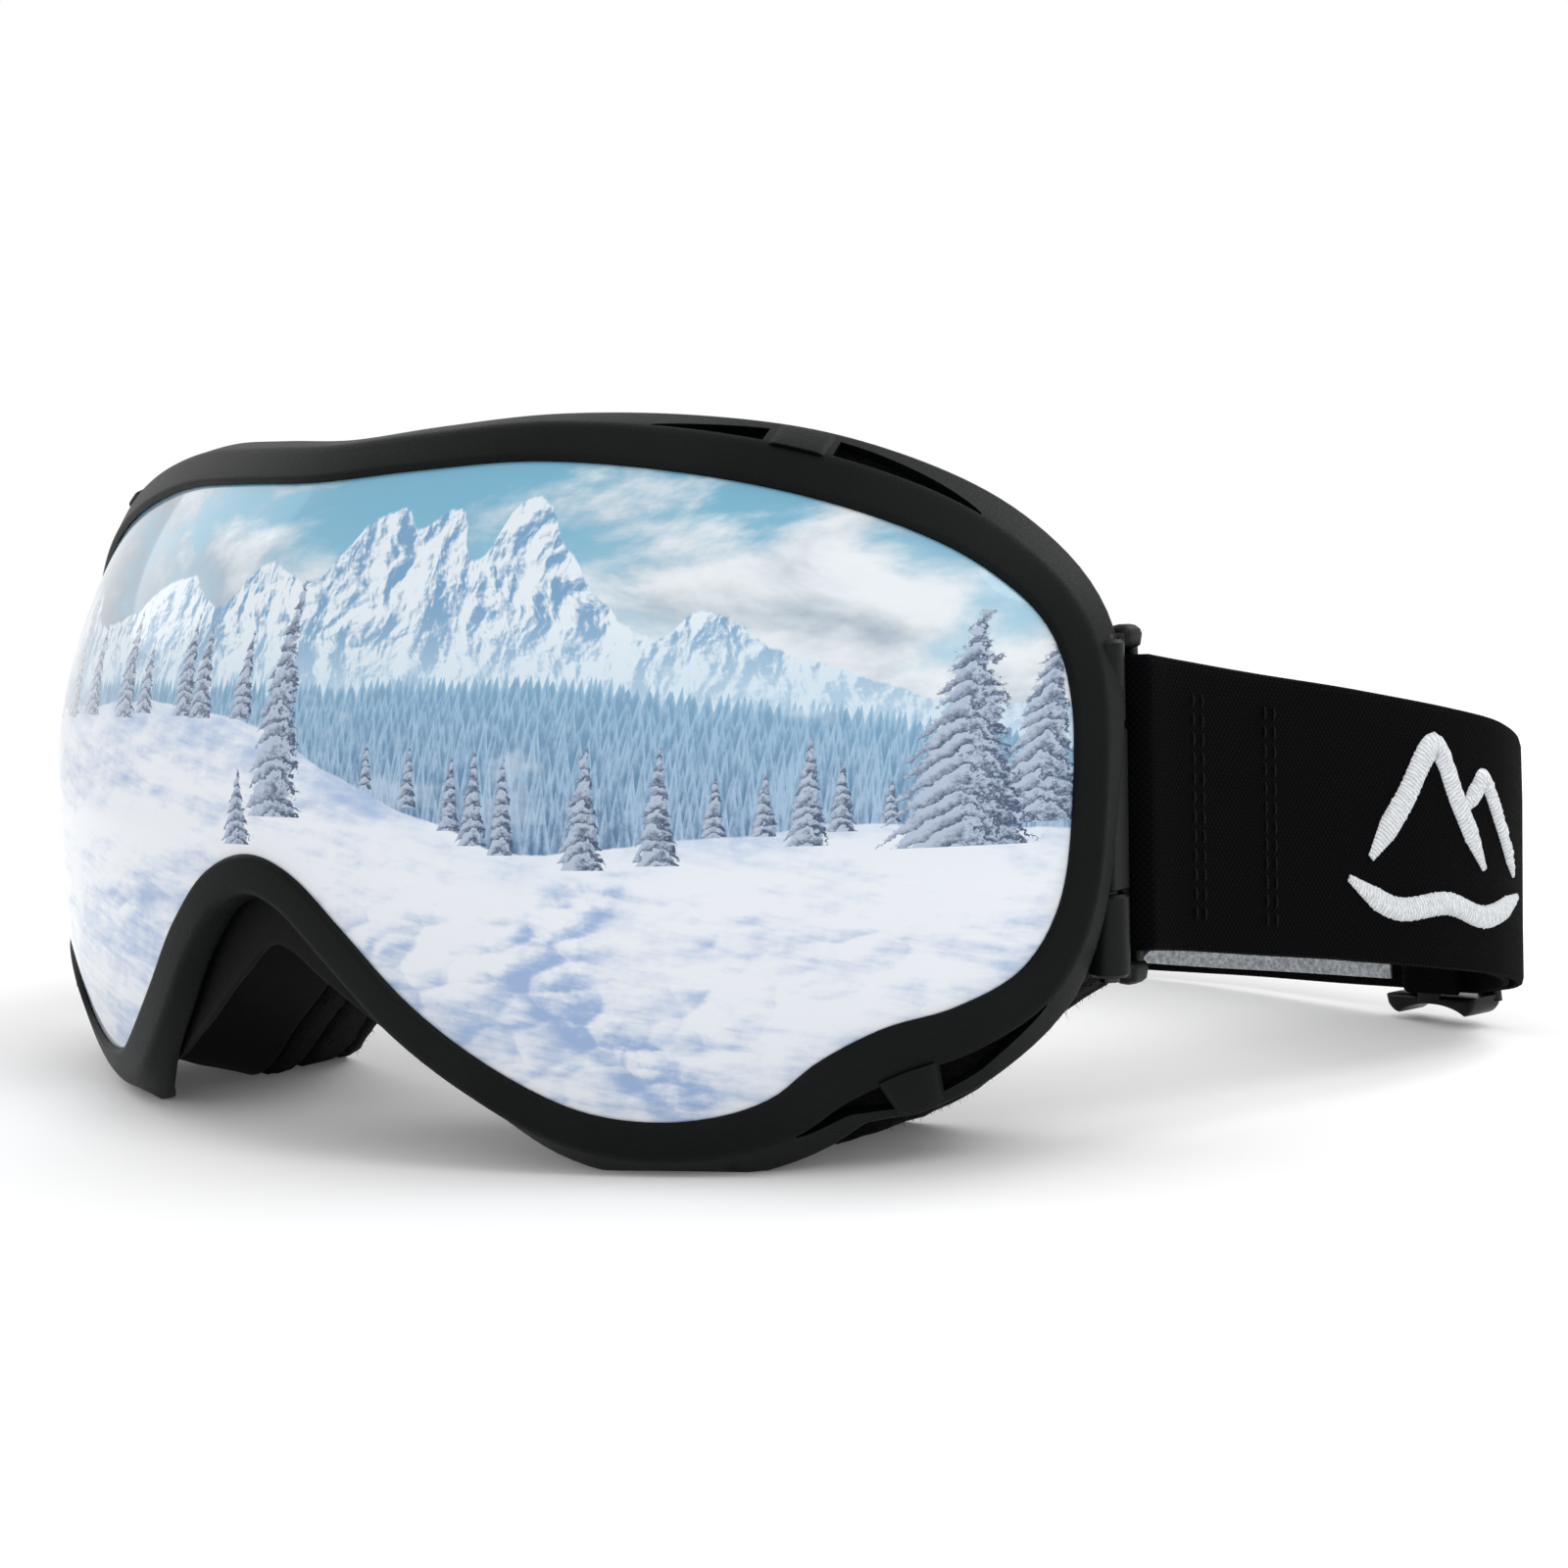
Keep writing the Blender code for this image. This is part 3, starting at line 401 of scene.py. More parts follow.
class Paint:
    """A Principled material and the tools to draw on it."""

    def __init__(self, name, roughness):
        self.material = bpy.data.materials.new(name)
        self.material.use_nodes = True
        self.tree = self.material.node_tree
        self.shader = self.tree.nodes["Principled BSDF"]
        self.set("Roughness", roughness)

    def add(self, kind, **inputs):
        node = self.tree.nodes.new("ShaderNode" + kind)
        for name, value in inputs.items():
            feed(node.inputs[name], value)
        return node

    def vector(self, x, y, z=0.0):
        return Val(self.tree, self.add("CombineXYZ", X=x, Y=y, Z=z).outputs[0])

    def split(self, output, scale):
        split = self.add("SeparateXYZ", Vector=Val(self.tree, output))
        return [Val(self.tree, out) * scale for out in split.outputs]

    def place(self):
        """The three coordinates of the surface point, in millimetres."""
        return self.split(self.add("TexCoord").outputs["Object"], 1.0 / MM)

    def run(self):
        """The distances along and across a strip, in millimetres."""
        node = self.add("UVMap")
        node.uv_map = "run"
        return self.split(node.outputs[0], 1.0)[:2]

    def noise(self, vector, scale, detail=2.0, roughness=0.5, distortion=0.0):
        node = self.add("TexNoise", Vector=vector, Scale=scale, Detail=detail,
                        Roughness=roughness, Distortion=distortion)
        return Val(self.tree, node.outputs["Fac"])

    def cells(self, vector, scale, output="Distance"):
        """A pattern of cells in space: the distance to each one's middle, or its shade."""
        node = self.add("TexVoronoi", Vector=vector, Scale=scale)
        return Val(self.tree, node.outputs[output])

    def cells_along(self, line, scale, output="Distance"):
        """As cells, in one dimension."""
        node = self.add("TexVoronoi", Scale=scale)
        node.voronoi_dimensions = "1D"
        feed(node.inputs["W"], line)
        return Val(self.tree, node.outputs[output])

    def set(self, name, value):
        feed(self.shader.inputs[name], value)

    def bump(self, height, distance):
        """Relief on the surface, distance millimetres deep."""
        node = self.add("Bump", Strength=1.0, Distance=distance * MM, Height=height)
        self.set("Normal", Val(self.tree, node.outputs[0]))


def moulded_material(name, dark, light, roughness, grain=3.2, depth=0.05, specular=0.5):
    """Moulded soft plastic: fine grain, faint cloudiness, and paler handled edges."""
    paint = Paint(name, roughness)
    spot = paint.vector(*paint.place())
    cloud = paint.noise(spot, 0.05, 4.0).step(0.35, 0.7)
    fine = paint.noise(spot, grain, 3.0, 0.6)
    wear = paint.add("NewGeometry").outputs["Pointiness"]
    edge = Val(paint.tree, wear).step(0.52, 0.6) * 0.5
    paint.set("Base Color", (cloud * 0.35 + fine.step(0.45, 0.75) * 0.3 + edge).mix(dark, light))
    paint.set("Roughness", fine * 0.25 + (roughness - 0.12))
    paint.set("Specular IOR Level", specular)
    paint.bump(fine + paint.noise(spot, grain * 3.0, 1.0) * 0.4, depth)
    return paint.material


def foam_material(name, dark, light, pore, depth, sheen=0.0):
    """Open-cell foam or brushed fleece: pores, soft mottling and a matte surface."""
    paint = Paint(name, 0.95)
    spot = paint.vector(*paint.place())
    pores = paint.cells(spot, pore)
    mottle = paint.noise(spot, 0.35, 4.0)
    shade = pores.step(0.05, 0.6) * 0.7 + mottle * 0.4
    paint.set("Base Color", shade.mix(dark, light))
    paint.set("Specular IOR Level", 0.08)
    paint.set("Sheen Weight", sheen)
    paint.set("Sheen Roughness", 0.5)
    paint.bump(pores + paint.noise(spot, pore * 2.0, 3.0, 0.7), depth)
    return paint.material


def webbing_material():
    """Woven elastic: ribs along the strap crossed by fine weft threads."""
    paint = Paint("strap_webbing_weave", 0.85)
    along, across = paint.run()
    ribs = (across * (2 * math.pi / 0.9)).math("SINE")
    picks = (along * (2 * math.pi / 0.7) + ribs.math("SIGN") * 1.57).math("SINE")
    fuzz = paint.noise(paint.vector(along, across), 1.6, 3.0, 0.7)
    weave = ribs.math("ABSOLUTE") * 0.5 + picks * 0.35
    shade = weave.step(0.0, 0.8) * 0.6 + fuzz * 0.5
    paint.set("Base Color", shade.mix((0.0003, 0.0003, 0.0005), (0.0022, 0.0023, 0.0030)))
    paint.set("Roughness", fuzz * 0.2 + 0.74)
    paint.set("Specular IOR Level", 0.035)
    paint.bump(weave + fuzz * 0.4, 0.14)
    return paint.material


def thread_material(name, dark, light, pitch):
    """Satin stitch: close parallel threads that cross the stroke."""
    paint = Paint(name, 0.6)
    along, across = paint.run()
    wander = paint.noise(paint.vector(along, across), 0.8, 3.0)
    threads = (along * (2 * math.pi / pitch) + wander * 7.0 + across * 1.1).math("SINE")
    clump = paint.noise(paint.vector(along, across), 1.7, 4.0, 0.65)
    paint.set("Base Color", (threads * 0.22 + clump * 0.9).step(0.0, 0.85).mix(dark, light))
    paint.set("Specular IOR Level", 0.1)
    paint.bump(threads * 0.5 + clump * 1.2, 0.16)
    return paint.material


def silicone_material():
    """Printed silicone grip: pale grey grains pressed into a dull film."""
    paint = Paint("grip_silicone_grain", 0.5)
    spot = paint.vector(*paint.place())
    grains = paint.cells(spot, 1.9, "Color")
    grey = paint.noise(spot, 1.4, 5.0, 0.75).step(0.3, 0.72)
    paint.set("Base Color", grey.mix((0.16, 0.18, 0.2), (0.62, 0.65, 0.68)))
    paint.set("Roughness", grey * 0.3 + 0.35)
    paint.bump(paint.noise(spot, 2.6, 4.0, 0.7) + grains * 0.3, 0.12)
    return paint.material


def steel_material():
    """Drawn steel wire under a black oxide finish."""
    paint = Paint("pin_steel_drawn", 0.3)
    x, y, z = paint.place()
    lines = paint.noise(paint.vector(x * 6.0, y * 6.0, z * 0.3), 1.0, 3.0)
    paint.set("Metallic", 1.0)
    paint.set("Base Color", lines.mix((0.02, 0.02, 0.022), (0.06, 0.06, 0.064)))
    paint.set("Roughness", lines * 0.2 + 0.22)
    paint.bump(lines, 0.02)
    return paint.material


def clear_material(name, tint, roughness, transmission=0.9):
    paint = Paint(name, roughness)
    spot = paint.vector(*paint.place())
    smear = paint.noise(spot, 0.06, 4.0, 0.6)
    paint.set("Base Color", smear.mix(tint, tuple(0.9 * c for c in tint)))
    paint.set("Roughness", smear * 0.06 + roughness)
    paint.set("Transmission Weight", transmission)
    paint.set("IOR", 1.45)
    return paint.material


# ---- the lens' snow scene, a painted reflection ---------------------------------------
def fir_group():
    """A snowy fir: from the point, its foot, height and half-width to a mask and a shade."""
    tree = bpy.data.node_groups.new("snowy_fir", "ShaderNodeTree")
    for name in ("U", "V", "Grain", "Clump", "Foot U", "Foot V", "Height", "Half Width", "Tiers"):
        tree.interface.new_socket(name, in_out="INPUT", socket_type="NodeSocketFloat")
    for name in ("Mask", "Shade"):
        tree.interface.new_socket(name, in_out="OUTPUT", socket_type="NodeSocketFloat")
    source = tree.nodes.new("NodeGroupInput")
    u, v, grain, clump, foot_u, foot_v, height, half, tiers = [
        Val(tree, socket) for socket in source.outputs[:9]]
    off = (u - foot_u) / half + (clump - 0.5) * 0.55 + (grain - 0.5) * 0.45
    side = off.math("ABSOLUTE")
    rise = (v - foot_v) / height
    phase = ((rise + side * half / height * 0.5) * tiers + clump * 2.6 + grain * 0.7).math("FRACT")
    reach = (1.03 - rise) * (1.0 - phase * 0.38)
    inside = (reach - side + grain * 0.2 - 0.04).step(0.0, 0.08)
    upright = rise.math("GREATER_THAN", 0.0) * rise.math("LESS_THAN", 1.0)
    shade = (phase * 0.75 + grain * 1.5 - off * 0.3 - 0.62).step(0.0, 0.8)
    sink = tree.nodes.new("NodeGroupOutput")
    tree.links.new((inside * upright).socket, sink.inputs[0])
    tree.links.new(shade.socket, sink.inputs[1])
    return tree


# Single firs: foot along and up the lens, height, half-width, tiers.
FIRS = (
    (4.0, -1.9, 26.5, 4.6, 13), (-2.0, -5.2, 8.6, 2.5, 7),
    (-29.0, 8.8, 13.0, 3.2, 9), (-23.5, 9.4, 9.0, 2.4, 7), (-14.0, 9.2, 12.0, 2.6, 9),
    (-10.5, 9.0, 11.2, 2.6, 8), (-2.6, 9.0, 10.0, 2.2, 8), (-41.0, 8.8, 11.5, 3.4, 8),
    (-52.0, 8.2, 15.5, 4.4, 10), (-63.0, 7.6, 12.0, 3.8, 8), (-76.0, 6.6, 17.0, 5.0, 11),
    (17.6, 1.4, 5.2, 1.1, 5), (23.2, -0.5, 6.6, 1.3, 6), (28.6, -3.0, 8.0, 1.5, 6),
    (31.4, -4.6, 10.6, 1.8, 8), (34.9, -5.6, 10.4, 1.8, 8), (44.1, -7.2, 13.0, 2.8, 9),
    (52.3, -6.8, 12.4, 2.6, 9), (58.4, -3.8, 6.4, 1.5, 6), (63.7, -3.9, 6.6, 1.6, 6),
    (68.2, -5.0, 11.2, 2.4, 8), (71.8, -3.6, 7.2, 1.8, 6), (76.9, -2.8, 4.4, 1.2, 5),
    (92.6, -3.4, 18.5, 5.6, 11), (84.3, -5.6, 24.6, 8.4, 13),
)
# Heights of the ridge and of the near snow along the lens, from end to end of the picture.
PICTURE_HALF = 95.0
RIDGE = ((-95, 15), (-80, 21), (-68, 17), (-54, 25), (-44, 20), (-34, 21), (-19, 25.6),
         (-11, 22), (-3, 26.8), (4, 24.6), (14.7, 32.2), (19, 30), (22.7, 32.2), (27, 26),
         (31, 32.8), (37, 27.6), (46, 19), (50, 17.2), (54.6, 19.8), (62.6, 15.6),
         (71, 13.2), (81, 10), (95, 9))
SNOW_LINE = ((-95, 6.5), (-65, 8.6), (-40, 10.2), (-18, 10.6), (-1, 8.6), (6, 6.2),
             (13, 3), (21, -0.4), (30, -3.4), (36, -5.4), (45, -4.9), (60, -3.6),
             (76, -2.9), (95, -4.2))


def profile(paint, u, points, lift=40.0):
    """A height along the lens, drawn as a smooth curve."""
    node = paint.add("FloatCurve")
    curve = node.mapping.curves[0]
    spots = [((x + PICTURE_HALF) / (2 * PICTURE_HALF), (height + lift) / (2 * lift))
             for x, height in points]
    curve.points[0].location, curve.points[1].location = spots[0], spots[-1]
    for spot in spots[1:-1]:
        curve.points.new(*spot)
    node.mapping.update()
    feed(node.inputs["Value"], (u + PICTURE_HALF) / (2 * PICTURE_HALF))
    return Val(paint.tree, node.outputs[0]) * (2 * lift) - lift


def relief(paint, spot, layers, strength, *grain):
    """Light on a height field: its noise less the same noise a step towards the light."""
    total = None
    for scale, offset, weight in layers:
        here, ahead = [paint.noise(spot(shift, scale), scale, *grain) for shift in (0.0, offset)]
        step = (here - ahead) * (weight * strength)
        total = step if total is None else total + step
    return total


def paint_sky(paint, u, v):
    blue = v.step(6.0, 34.0).mix((0.50, 0.71, 0.83), (0.17, 0.44, 0.61))
    spot = paint.vector(u * 0.6, v * 1.25)
    lit = paint.vector(u * 0.6 + 1.4, v * 1.25 + 2.6)
    puffs = paint.noise(spot, 0.055, 7.0, 0.56, 0.35)
    shadow = puffs - paint.noise(lit, 0.055, 7.0, 0.56, 0.35)
    wisps = paint.noise(paint.vector(u * 0.35, v * 1.6, 4.0), 0.09, 5.0, 0.6)
    storm = u.step(14.0, -42.0) * v.step(2.0, 20.0)
    grey = (0.42 - shadow * 2.2 + storm * 0.55).step(0.2, 1.0)
    cloud = grey.mix((0.84, 0.88, 0.91), (0.27, 0.36, 0.45))
    cover = (puffs + (v - 20.0) * -0.009 + wisps * 0.25 + storm * 0.11).step(0.5, 0.66)
    return cover.mix(blue, cloud)


def paint_range(paint, sky, u, v):
    """Snowy peaks: the ridge's own height field, lit from the upper left."""
    jag = paint.noise(paint.vector(u, 0.0, 3.0), 0.42, 5.0, 0.6)
    top = profile(paint, u, RIDGE) + (jag - 0.5) * 2.4
    bend = (paint.noise(paint.vector(u, v), 0.06, 3.0) - 0.5) * 10.0

    def spot(shift, scale):
        return paint.vector(u + bend - shift, (v + shift * 0.7) * 0.62, scale * 40.0)

    layers = ((0.06, 2.4, 1.5), (0.16, 1.0, 1.3), (0.42, 0.4, 1.2))
    flank = (relief(paint, spot, layers, 3.0, 5.0, 0.62, 0.2) + 0.60).step(0.12, 0.85)
    rock = flank.mix((0.17, 0.35, 0.56), (0.80, 0.87, 0.92))
    veil = paint.noise(paint.vector(u * 0.5, v * 1.4, 7.0), 0.07, 4.0) * 0.3
    haze = (v.step(25.0, 9.0) * 0.5 + veil).step(0.12, 1.0)
    slope = haze.mix(rock, (0.58, 0.74, 0.86))
    return (top - v).step(-0.12, 0.3).mix(sky, slope)


def paint_forest(paint, behind, u, v):
    """Wooded foothills in blue haze: rows of firs, each row nearer, larger and darker."""
    picture = behind
    past = (u - 15.0).math("MAXIMUM", 0.0)
    sway = paint.noise(paint.vector(u, 1.0), 0.04, 3.0) * 4.0 - 2.0
    gaps = paint.noise(paint.vector(u, v * 2.0, 5.0), 0.09, 3.0)
    rough = paint.noise(paint.vector(u, v * 0.6), 0.9, 4.0, 0.7)
    rows = 9
    for row in range(rows):
        near = row / (rows - 1)
        level = 12.6 - 15.5 * near
        tall = 1.5 + 2.6 * near
        line = u + row * 7.3
        cells = paint.cells_along(line, 1.25 - 0.5 * near)
        height = paint.cells_along(line, 1.25 - 0.5 * near, "Color")
        tip = (1.0 - cells * 2.3) * (height * 0.9 + 0.35) * tall
        top = tip + sway * (1.0 - 0.5 * near) - past * past * (0.0013 - 0.0006 * near) + level
        depth = (top - v) / (tall * 1.5)
        tone = (depth * 0.7 + rough * 1.1 - height * 0.5 - 0.12).step(0.0, 0.85)
        pale = tuple(a + (b - a) * near for a, b in zip((0.34, 0.53, 0.70), (0.38, 0.53, 0.72)))
        dark = tuple(a + (b - a) * near for a, b in zip((0.17, 0.34, 0.51), (0.06, 0.15, 0.29)))
        snowed = gaps.step(0.54, 0.68) * (0.7 - 0.45 * near)
        wood = snowed.mix(tone.mix(pale, dark), (0.62, 0.74, 0.86))
        picture = (top - v).step(-0.08, 0.12).mix(picture, wood)
    return picture


def paint_snow(paint, behind, u, v):
    """Wind-blown snow lit from the left, with a trodden trench and softly filled prints."""
    drift = paint.noise(paint.vector(u, 0.0, 6.0), 0.12, 4.0) * 1.8 - 0.9
    top = profile(paint, u, SNOW_LINE) + drift
    deep = (top - v).math("MAXIMUM", 0.0)
    tilt = v + u * 0.22

    def spot(shift, scale):
        return paint.vector((u - shift) * 0.42, tilt + shift * 0.6, scale * 90.0)

    layers = ((0.045, 3.4, 1.2), (0.13, 1.2, 1.05), (0.5, 0.35, 0.5))
    drifts = relief(paint, spot, layers, 2.6, 3.0, 0.45)
    bend = ((v + 12.0) * 0.21).math("SINE") * 4.5 + 40.0 + v * -0.25
    beside = (u - bend) / 4.6
    trench = (beside * beside).step(1.2, 0.2) * v.step(-5.5, -10.0)
    churned = paint.noise(paint.vector(u * 0.7, v), 0.55, 4.0, 0.6)
    bank = (beside + 0.9).math("ABSOLUTE").step(0.55, 0.0) * v.step(-5.5, -10.0)
    scatter = paint.vector(u * 0.55 + churned, v + churned * 0.8)
    ahead = paint.vector(u * 0.55 + churned - 0.35, v + churned * 0.8 + 0.35)
    pits = paint.cells(scatter, 0.30) - paint.cells(ahead, 0.30)
    strewn = v.step(-9.0, -14.0) * paint.noise(paint.vector(u, v, 3.0), 0.07, 2.0).step(0.42, 0.6)
    shade = drifts * 1.5 + 0.66 - trench * (churned * 1.5 - 0.52) - bank * 0.42
    shade = shade - pits * (strewn * 2.6 + trench * 1.4)
    snow = shade.step(-0.15, 1.0).mix((0.32, 0.45, 0.70), (0.85, 0.88, 0.93))
    far = deep.step(7.0, 0.0) * 0.22
    return (top - v).step(-0.08, 0.2).mix(behind, far.mix(snow, (0.66, 0.77, 0.91)))


def paint_firs(paint, behind, u, v):
    group = fir_group()
    grain = paint.noise(paint.vector(u, v * 1.3, 2.0), 1.5, 5.0, 0.72)
    clump = paint.noise(paint.vector(u, v * 1.4, 8.0), 0.32, 3.0, 0.6)
    cover = shade = None
    for fir in FIRS:
        node = paint.add("Group")
        node.node_tree = group
        for slot, value in zip(node.inputs, (u, v, grain, clump, *fir)):
            feed(slot, value)
        mask, tone = Val(paint.tree, node.outputs[0]), Val(paint.tree, node.outputs[1])
        if cover is None:
            cover, shade = mask, tone
        else:
            shade = shade + (tone - shade) * mask
            cover = cover.math("MAXIMUM", mask)
    fir = shade.mix((0.03, 0.06, 0.13), (0.46, 0.54, 0.67))
    return cover.mix(behind, fir)


def painted_reflection_material():
    """The mirror coating, with a painted reflection of a generic alpine landscape."""
    paint = Paint("lens_mirror_painted_reflection", 0.12)
    x, _, height = paint.place()
    u = (x / LENS_RADIUS_X).math("ARCSINE") * LENS_RADIUS_X
    v = height - LENS_AXIS_HEIGHT
    picture = paint_sky(paint, u, v)
    for layer in (paint_range, paint_forest, paint_snow, paint_firs):
        picture = layer(paint, picture, u, v)
    fade = paint.noise(paint.vector(u, v, 5.0), 0.02, 2.0) * 0.08 + 0.14
    # The painted reflection of the landscape, laid in as the lens' base colour.
    paint.set("Base Color", fade.mix(picture, (0.04, 0.06, 0.09)))
    smear = paint.noise(paint.vector(u, v), 0.05, 4.0)
    paint.set("Roughness", smear * 0.05 + 0.1)
    paint.set("Specular IOR Level", 0.25)
    paint.set("Coat Weight", 0.5)
    paint.set("Coat Roughness", 0.04)
    return paint.material


# ---- lens and frame pieces ------------------------------------------------------------
def pane(name, stations, edge_offset, depth, thickness, front_material, rear_material,
         rings=26):
    """A toric pane with a rounded edge; its front and rear faces may differ."""
    verts, faces, on_front = [], [], []
    middle = Vector((0.0, 0.0, 5.0))
    count = len(stations)
    shares = [1.0 - (ring / rings) ** 1.15 for ring in range(rings)]
    edge = [station.at(edge_offset - PANE_TRIM, 0.0) for station in stations]
    spots = [(middle.x + (point.x - middle.x) * share, middle.z + (point.z - middle.z) * share)
             for share in shares for point in edge]
    for off in (depth, depth + thickness):
        for x, z in spots + [(middle.x, middle.z)]:
            verts.append(Vector((x, lens_y(x, z), z)) - lens_normal(x, z) * off)
    side = rings * count + 1
    for face_side in (0, 1):
        base = face_side * side
        for ring in range(rings - 1):
            for k in range(count):
                after = (k + 1) % count
                a, b = base + ring * count, base + (ring + 1) * count
                quad = (a + k, b + k, b + after, a + after)
                faces.append(quad if face_side == 0 else tuple(reversed(quad)))
                on_front.append(face_side == 0)
        last = base + (rings - 1) * count
        for k in range(count):
            tri = (last + k, base + side - 1, last + (k + 1) % count)
            faces.append(tri if face_side == 0 else tuple(reversed(tri)))
            on_front.append(face_side == 0)
    start = len(verts)
    for station in stations:
        verts.append(station.at(edge_offset, -depth - thickness / 2))
    for k in range(count):
        after = (k + 1) % count
        faces.append((k, after, start + after, start + k))
        faces.append((start + k, start + after, side + after, side + k))
        on_front.extend((False, False))
    obj = make_piece(name, verts, faces, front_material, "frame", sharp=60)
    obj.data.materials.append(rear_material)
    for polygon, front in zip(obj.data.polygons, on_front):
        polygon.material_index = 0 if front else 1
    return obj


def temple_share(s):
    """0 at the front of the frame, 1 on its sides."""
    return max(0.0, min(1.0, (abs(s.x) - 66.0) / 12.0))


def wall_edge(s):
    """How far outside the lens' edge the back of the chassis lies."""
    temple = smoothstep(39.0, 82.0, abs(s.x))
    below = smoothstep(3.0, -23.0, s.z)
    cheek = (s.rim - 1.0) * below + (s.rim - 5.0) * (1.0 - below)
    return cheek * (1.0 - temple) - (11.5 - 7.5 * below * below) * temple + 0.4 * s.flange


def ring_section(s):
    """The ring over the lens' edge, its ridge, and the wall that runs back from the rim."""
    room = max(0.0, 1.0 - s.flange / 0.4)
    back = Vector((0.0, 1.4 * (1.0 - temple_share(s)) * room, 0.0))
    corners = [s.at(-0.1, 0.12), s.at(0.25, 0.9), s.at(s.ring, 0.95), s.at(s.rim, -2.0),
               s.at(s.rim, -2.6) + back, s.at(s.rim - WALL, -2.9) + back,
               s.at(s.rim - WALL, -2.6), s.at(1.5, -2.6), s.at(1.5, 0.12)]
    radii = [0.12, 0.45, 0.8, 0.5, 0.3, 0.3, 0.2, 0.2, 0.1]
    return on_ground(rounded(corners, radii, 3))


def chassis_section(s):
    temple = temple_share(s)
    outer = min(s.rim - WALL - 0.4, s.ring - 0.2) + 1.25 * s.flange
    lobe = max(0.0, min(1.0, (-s.z - 28.0) / 6.0)) * (1.0 - temple)
    start = 0.6 - 3.0 * temple + (s.rim - 3.0) * lobe
    cheek = 0.6 + (outer - 0.9) * lobe
    wall = wall_edge(s)
    rear = face_y(s.x) - sum(thick for _, thick in FOAM_LAYERS) - 3 * GAP - 0.2
    corners = [s.at(-1.4, -3.2), s.at(outer, -3.2 - 0.1 * s.flange), s.at(outer, -4.8),
               s.at(cheek, -5.5), s.at(start, -8.2), s.back(wall, rear),
               s.inward(wall, 4.0, rear), s.inward(wall, 2.2, rear - 2.0),
               s.at(start - 2.4, -8.0), s.at(-1.4, -6.2)]
    radii = [0.3, 0.7, 0.7, 0.8, 1.6, 0.5, 0.4, 0.6, 1.2, 0.4]
    return on_ground(rounded(corners, radii, 3))


def vent_cutter(edge, start, middle, end, half):
    """Opening between ring and rim; it closes to a point at both ends of the vent."""
    sections = []
    stations = vent_stations(edge, start, end, 49)
    for k, s in enumerate(stations):
        beyond = abs(s.x - middle) > BRIDGE_HALF_WIDTH
        wanted = s.x > middle if half == "outer" else s.x < middle
        if beyond and wanted:
            open_share = math.sin(math.pi * (k + 0.5) / len(stations)) ** 0.7
            inner = s.ring + 0.45
            outer = inner + max(s.rim - WALL + 0.25 - inner, 0.3) * open_share
            sections.append([s.at(inner, 6.0), s.at(outer, 6.0),
                             s.at(outer, -3.15), s.at(inner, -3.15)])
    return loft_data(sections, False)


def cut(obj, data, name):
    """Cut the closed shape out of the object and keep the result as its mesh."""
    verts, faces = data
    mesh = bpy.data.meshes.new(name)
    mesh.from_pydata([(v + SHIFT) * MM for v in verts], [], faces)
    cutter = bpy.data.objects.new(name, mesh)
    bpy.context.scene.collection.objects.link(cutter)
    modifier = obj.modifiers.new(name, "BOOLEAN")
    modifier.operation = "DIFFERENCE"
    modifier.solver = "EXACT"
    modifier.object = cutter
    graph = bpy.context.evaluated_depsgraph_get()
    result = bpy.data.meshes.new_from_object(obj.evaluated_get(graph))
    obj.modifiers.remove(modifier)
    obj.data = result
    bpy.data.objects.remove(cutter)


def make_ring(stations, material):
    ring = loft("front_ring", [ring_section(s) for s in stations], True, material, "frame", 32)
    openings = []
    for edge, start, middle, end in VENTS:
        for half in ("outer", "inner"):
            opening = vent_cutter(edge, start, middle, end, half)
            openings.extend((opening, flip_x(opening)))
    cut(ring, merge(openings), "vent_openings")
    ring.data.shade_smooth()
    ring.data.set_sharp_from_angle(angle=math.radians(32))
    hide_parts("front_frame")


def make_bridges(material):
    """The raised block that parts each vent into two slots."""
    for edge, start, middle, end in VENTS:
        stations = vent_stations(edge, start, end, 61)
        stretch = [s for s in stations if abs(s.x - middle) <= BRIDGE_HALF_WIDTH + 0.5]
        sections = []
        for k, s in enumerate(stretch):
            end_share = min(k, len(stretch) - 1 - k) / 1.5
            lift = 0.9 * min(1.0, end_share) ** 0.5
            inner, outer = s.ring - 0.1, s.rim - 0.6
            corners = [s.at(inner, 0.5 + lift), s.at(outer, -1.75 + 0.4 * lift),
                       s.at(outer - 0.3, -2.5), s.at(inner, -1.6)]
            sections.append(rounded(corners, 0.32, 3))
        for side, part in both_sides(loft_data(sections, False)):
            bridge = make_piece(f"vent_bridge_{edge}_{side}", *part, material, "frame")


def make_scrims(material):
    """Open-cell foam stretched behind each vent, between the ring and the chassis."""
    for edge, start, _, end in VENTS:
        sections = []
        for s in vent_stations(edge, start + 0.4, end - 0.4, 61):
            outer = s.rim - WALL + 0.3
            corners = [s.at(1.0, -2.66), s.at(outer, -2.66), s.at(outer, -3.15), s.at(1.0, -3.15)]
            sections.append(rounded(corners, 0.12, 2))
        for side, part in both_sides(loft_data(sections, False)):
            scrim = make_piece(f"vent_scrim_{edge}_{side}", *part, material, "frame")


def pad_spread(s):
    """How far the pads stand outside the chassis; they spread at the foot of the temple."""
    return PAD_SPREAD * smoothstep(44.0, 68.0, abs(s.x)) * smoothstep(4.0, -18.0, s.z)


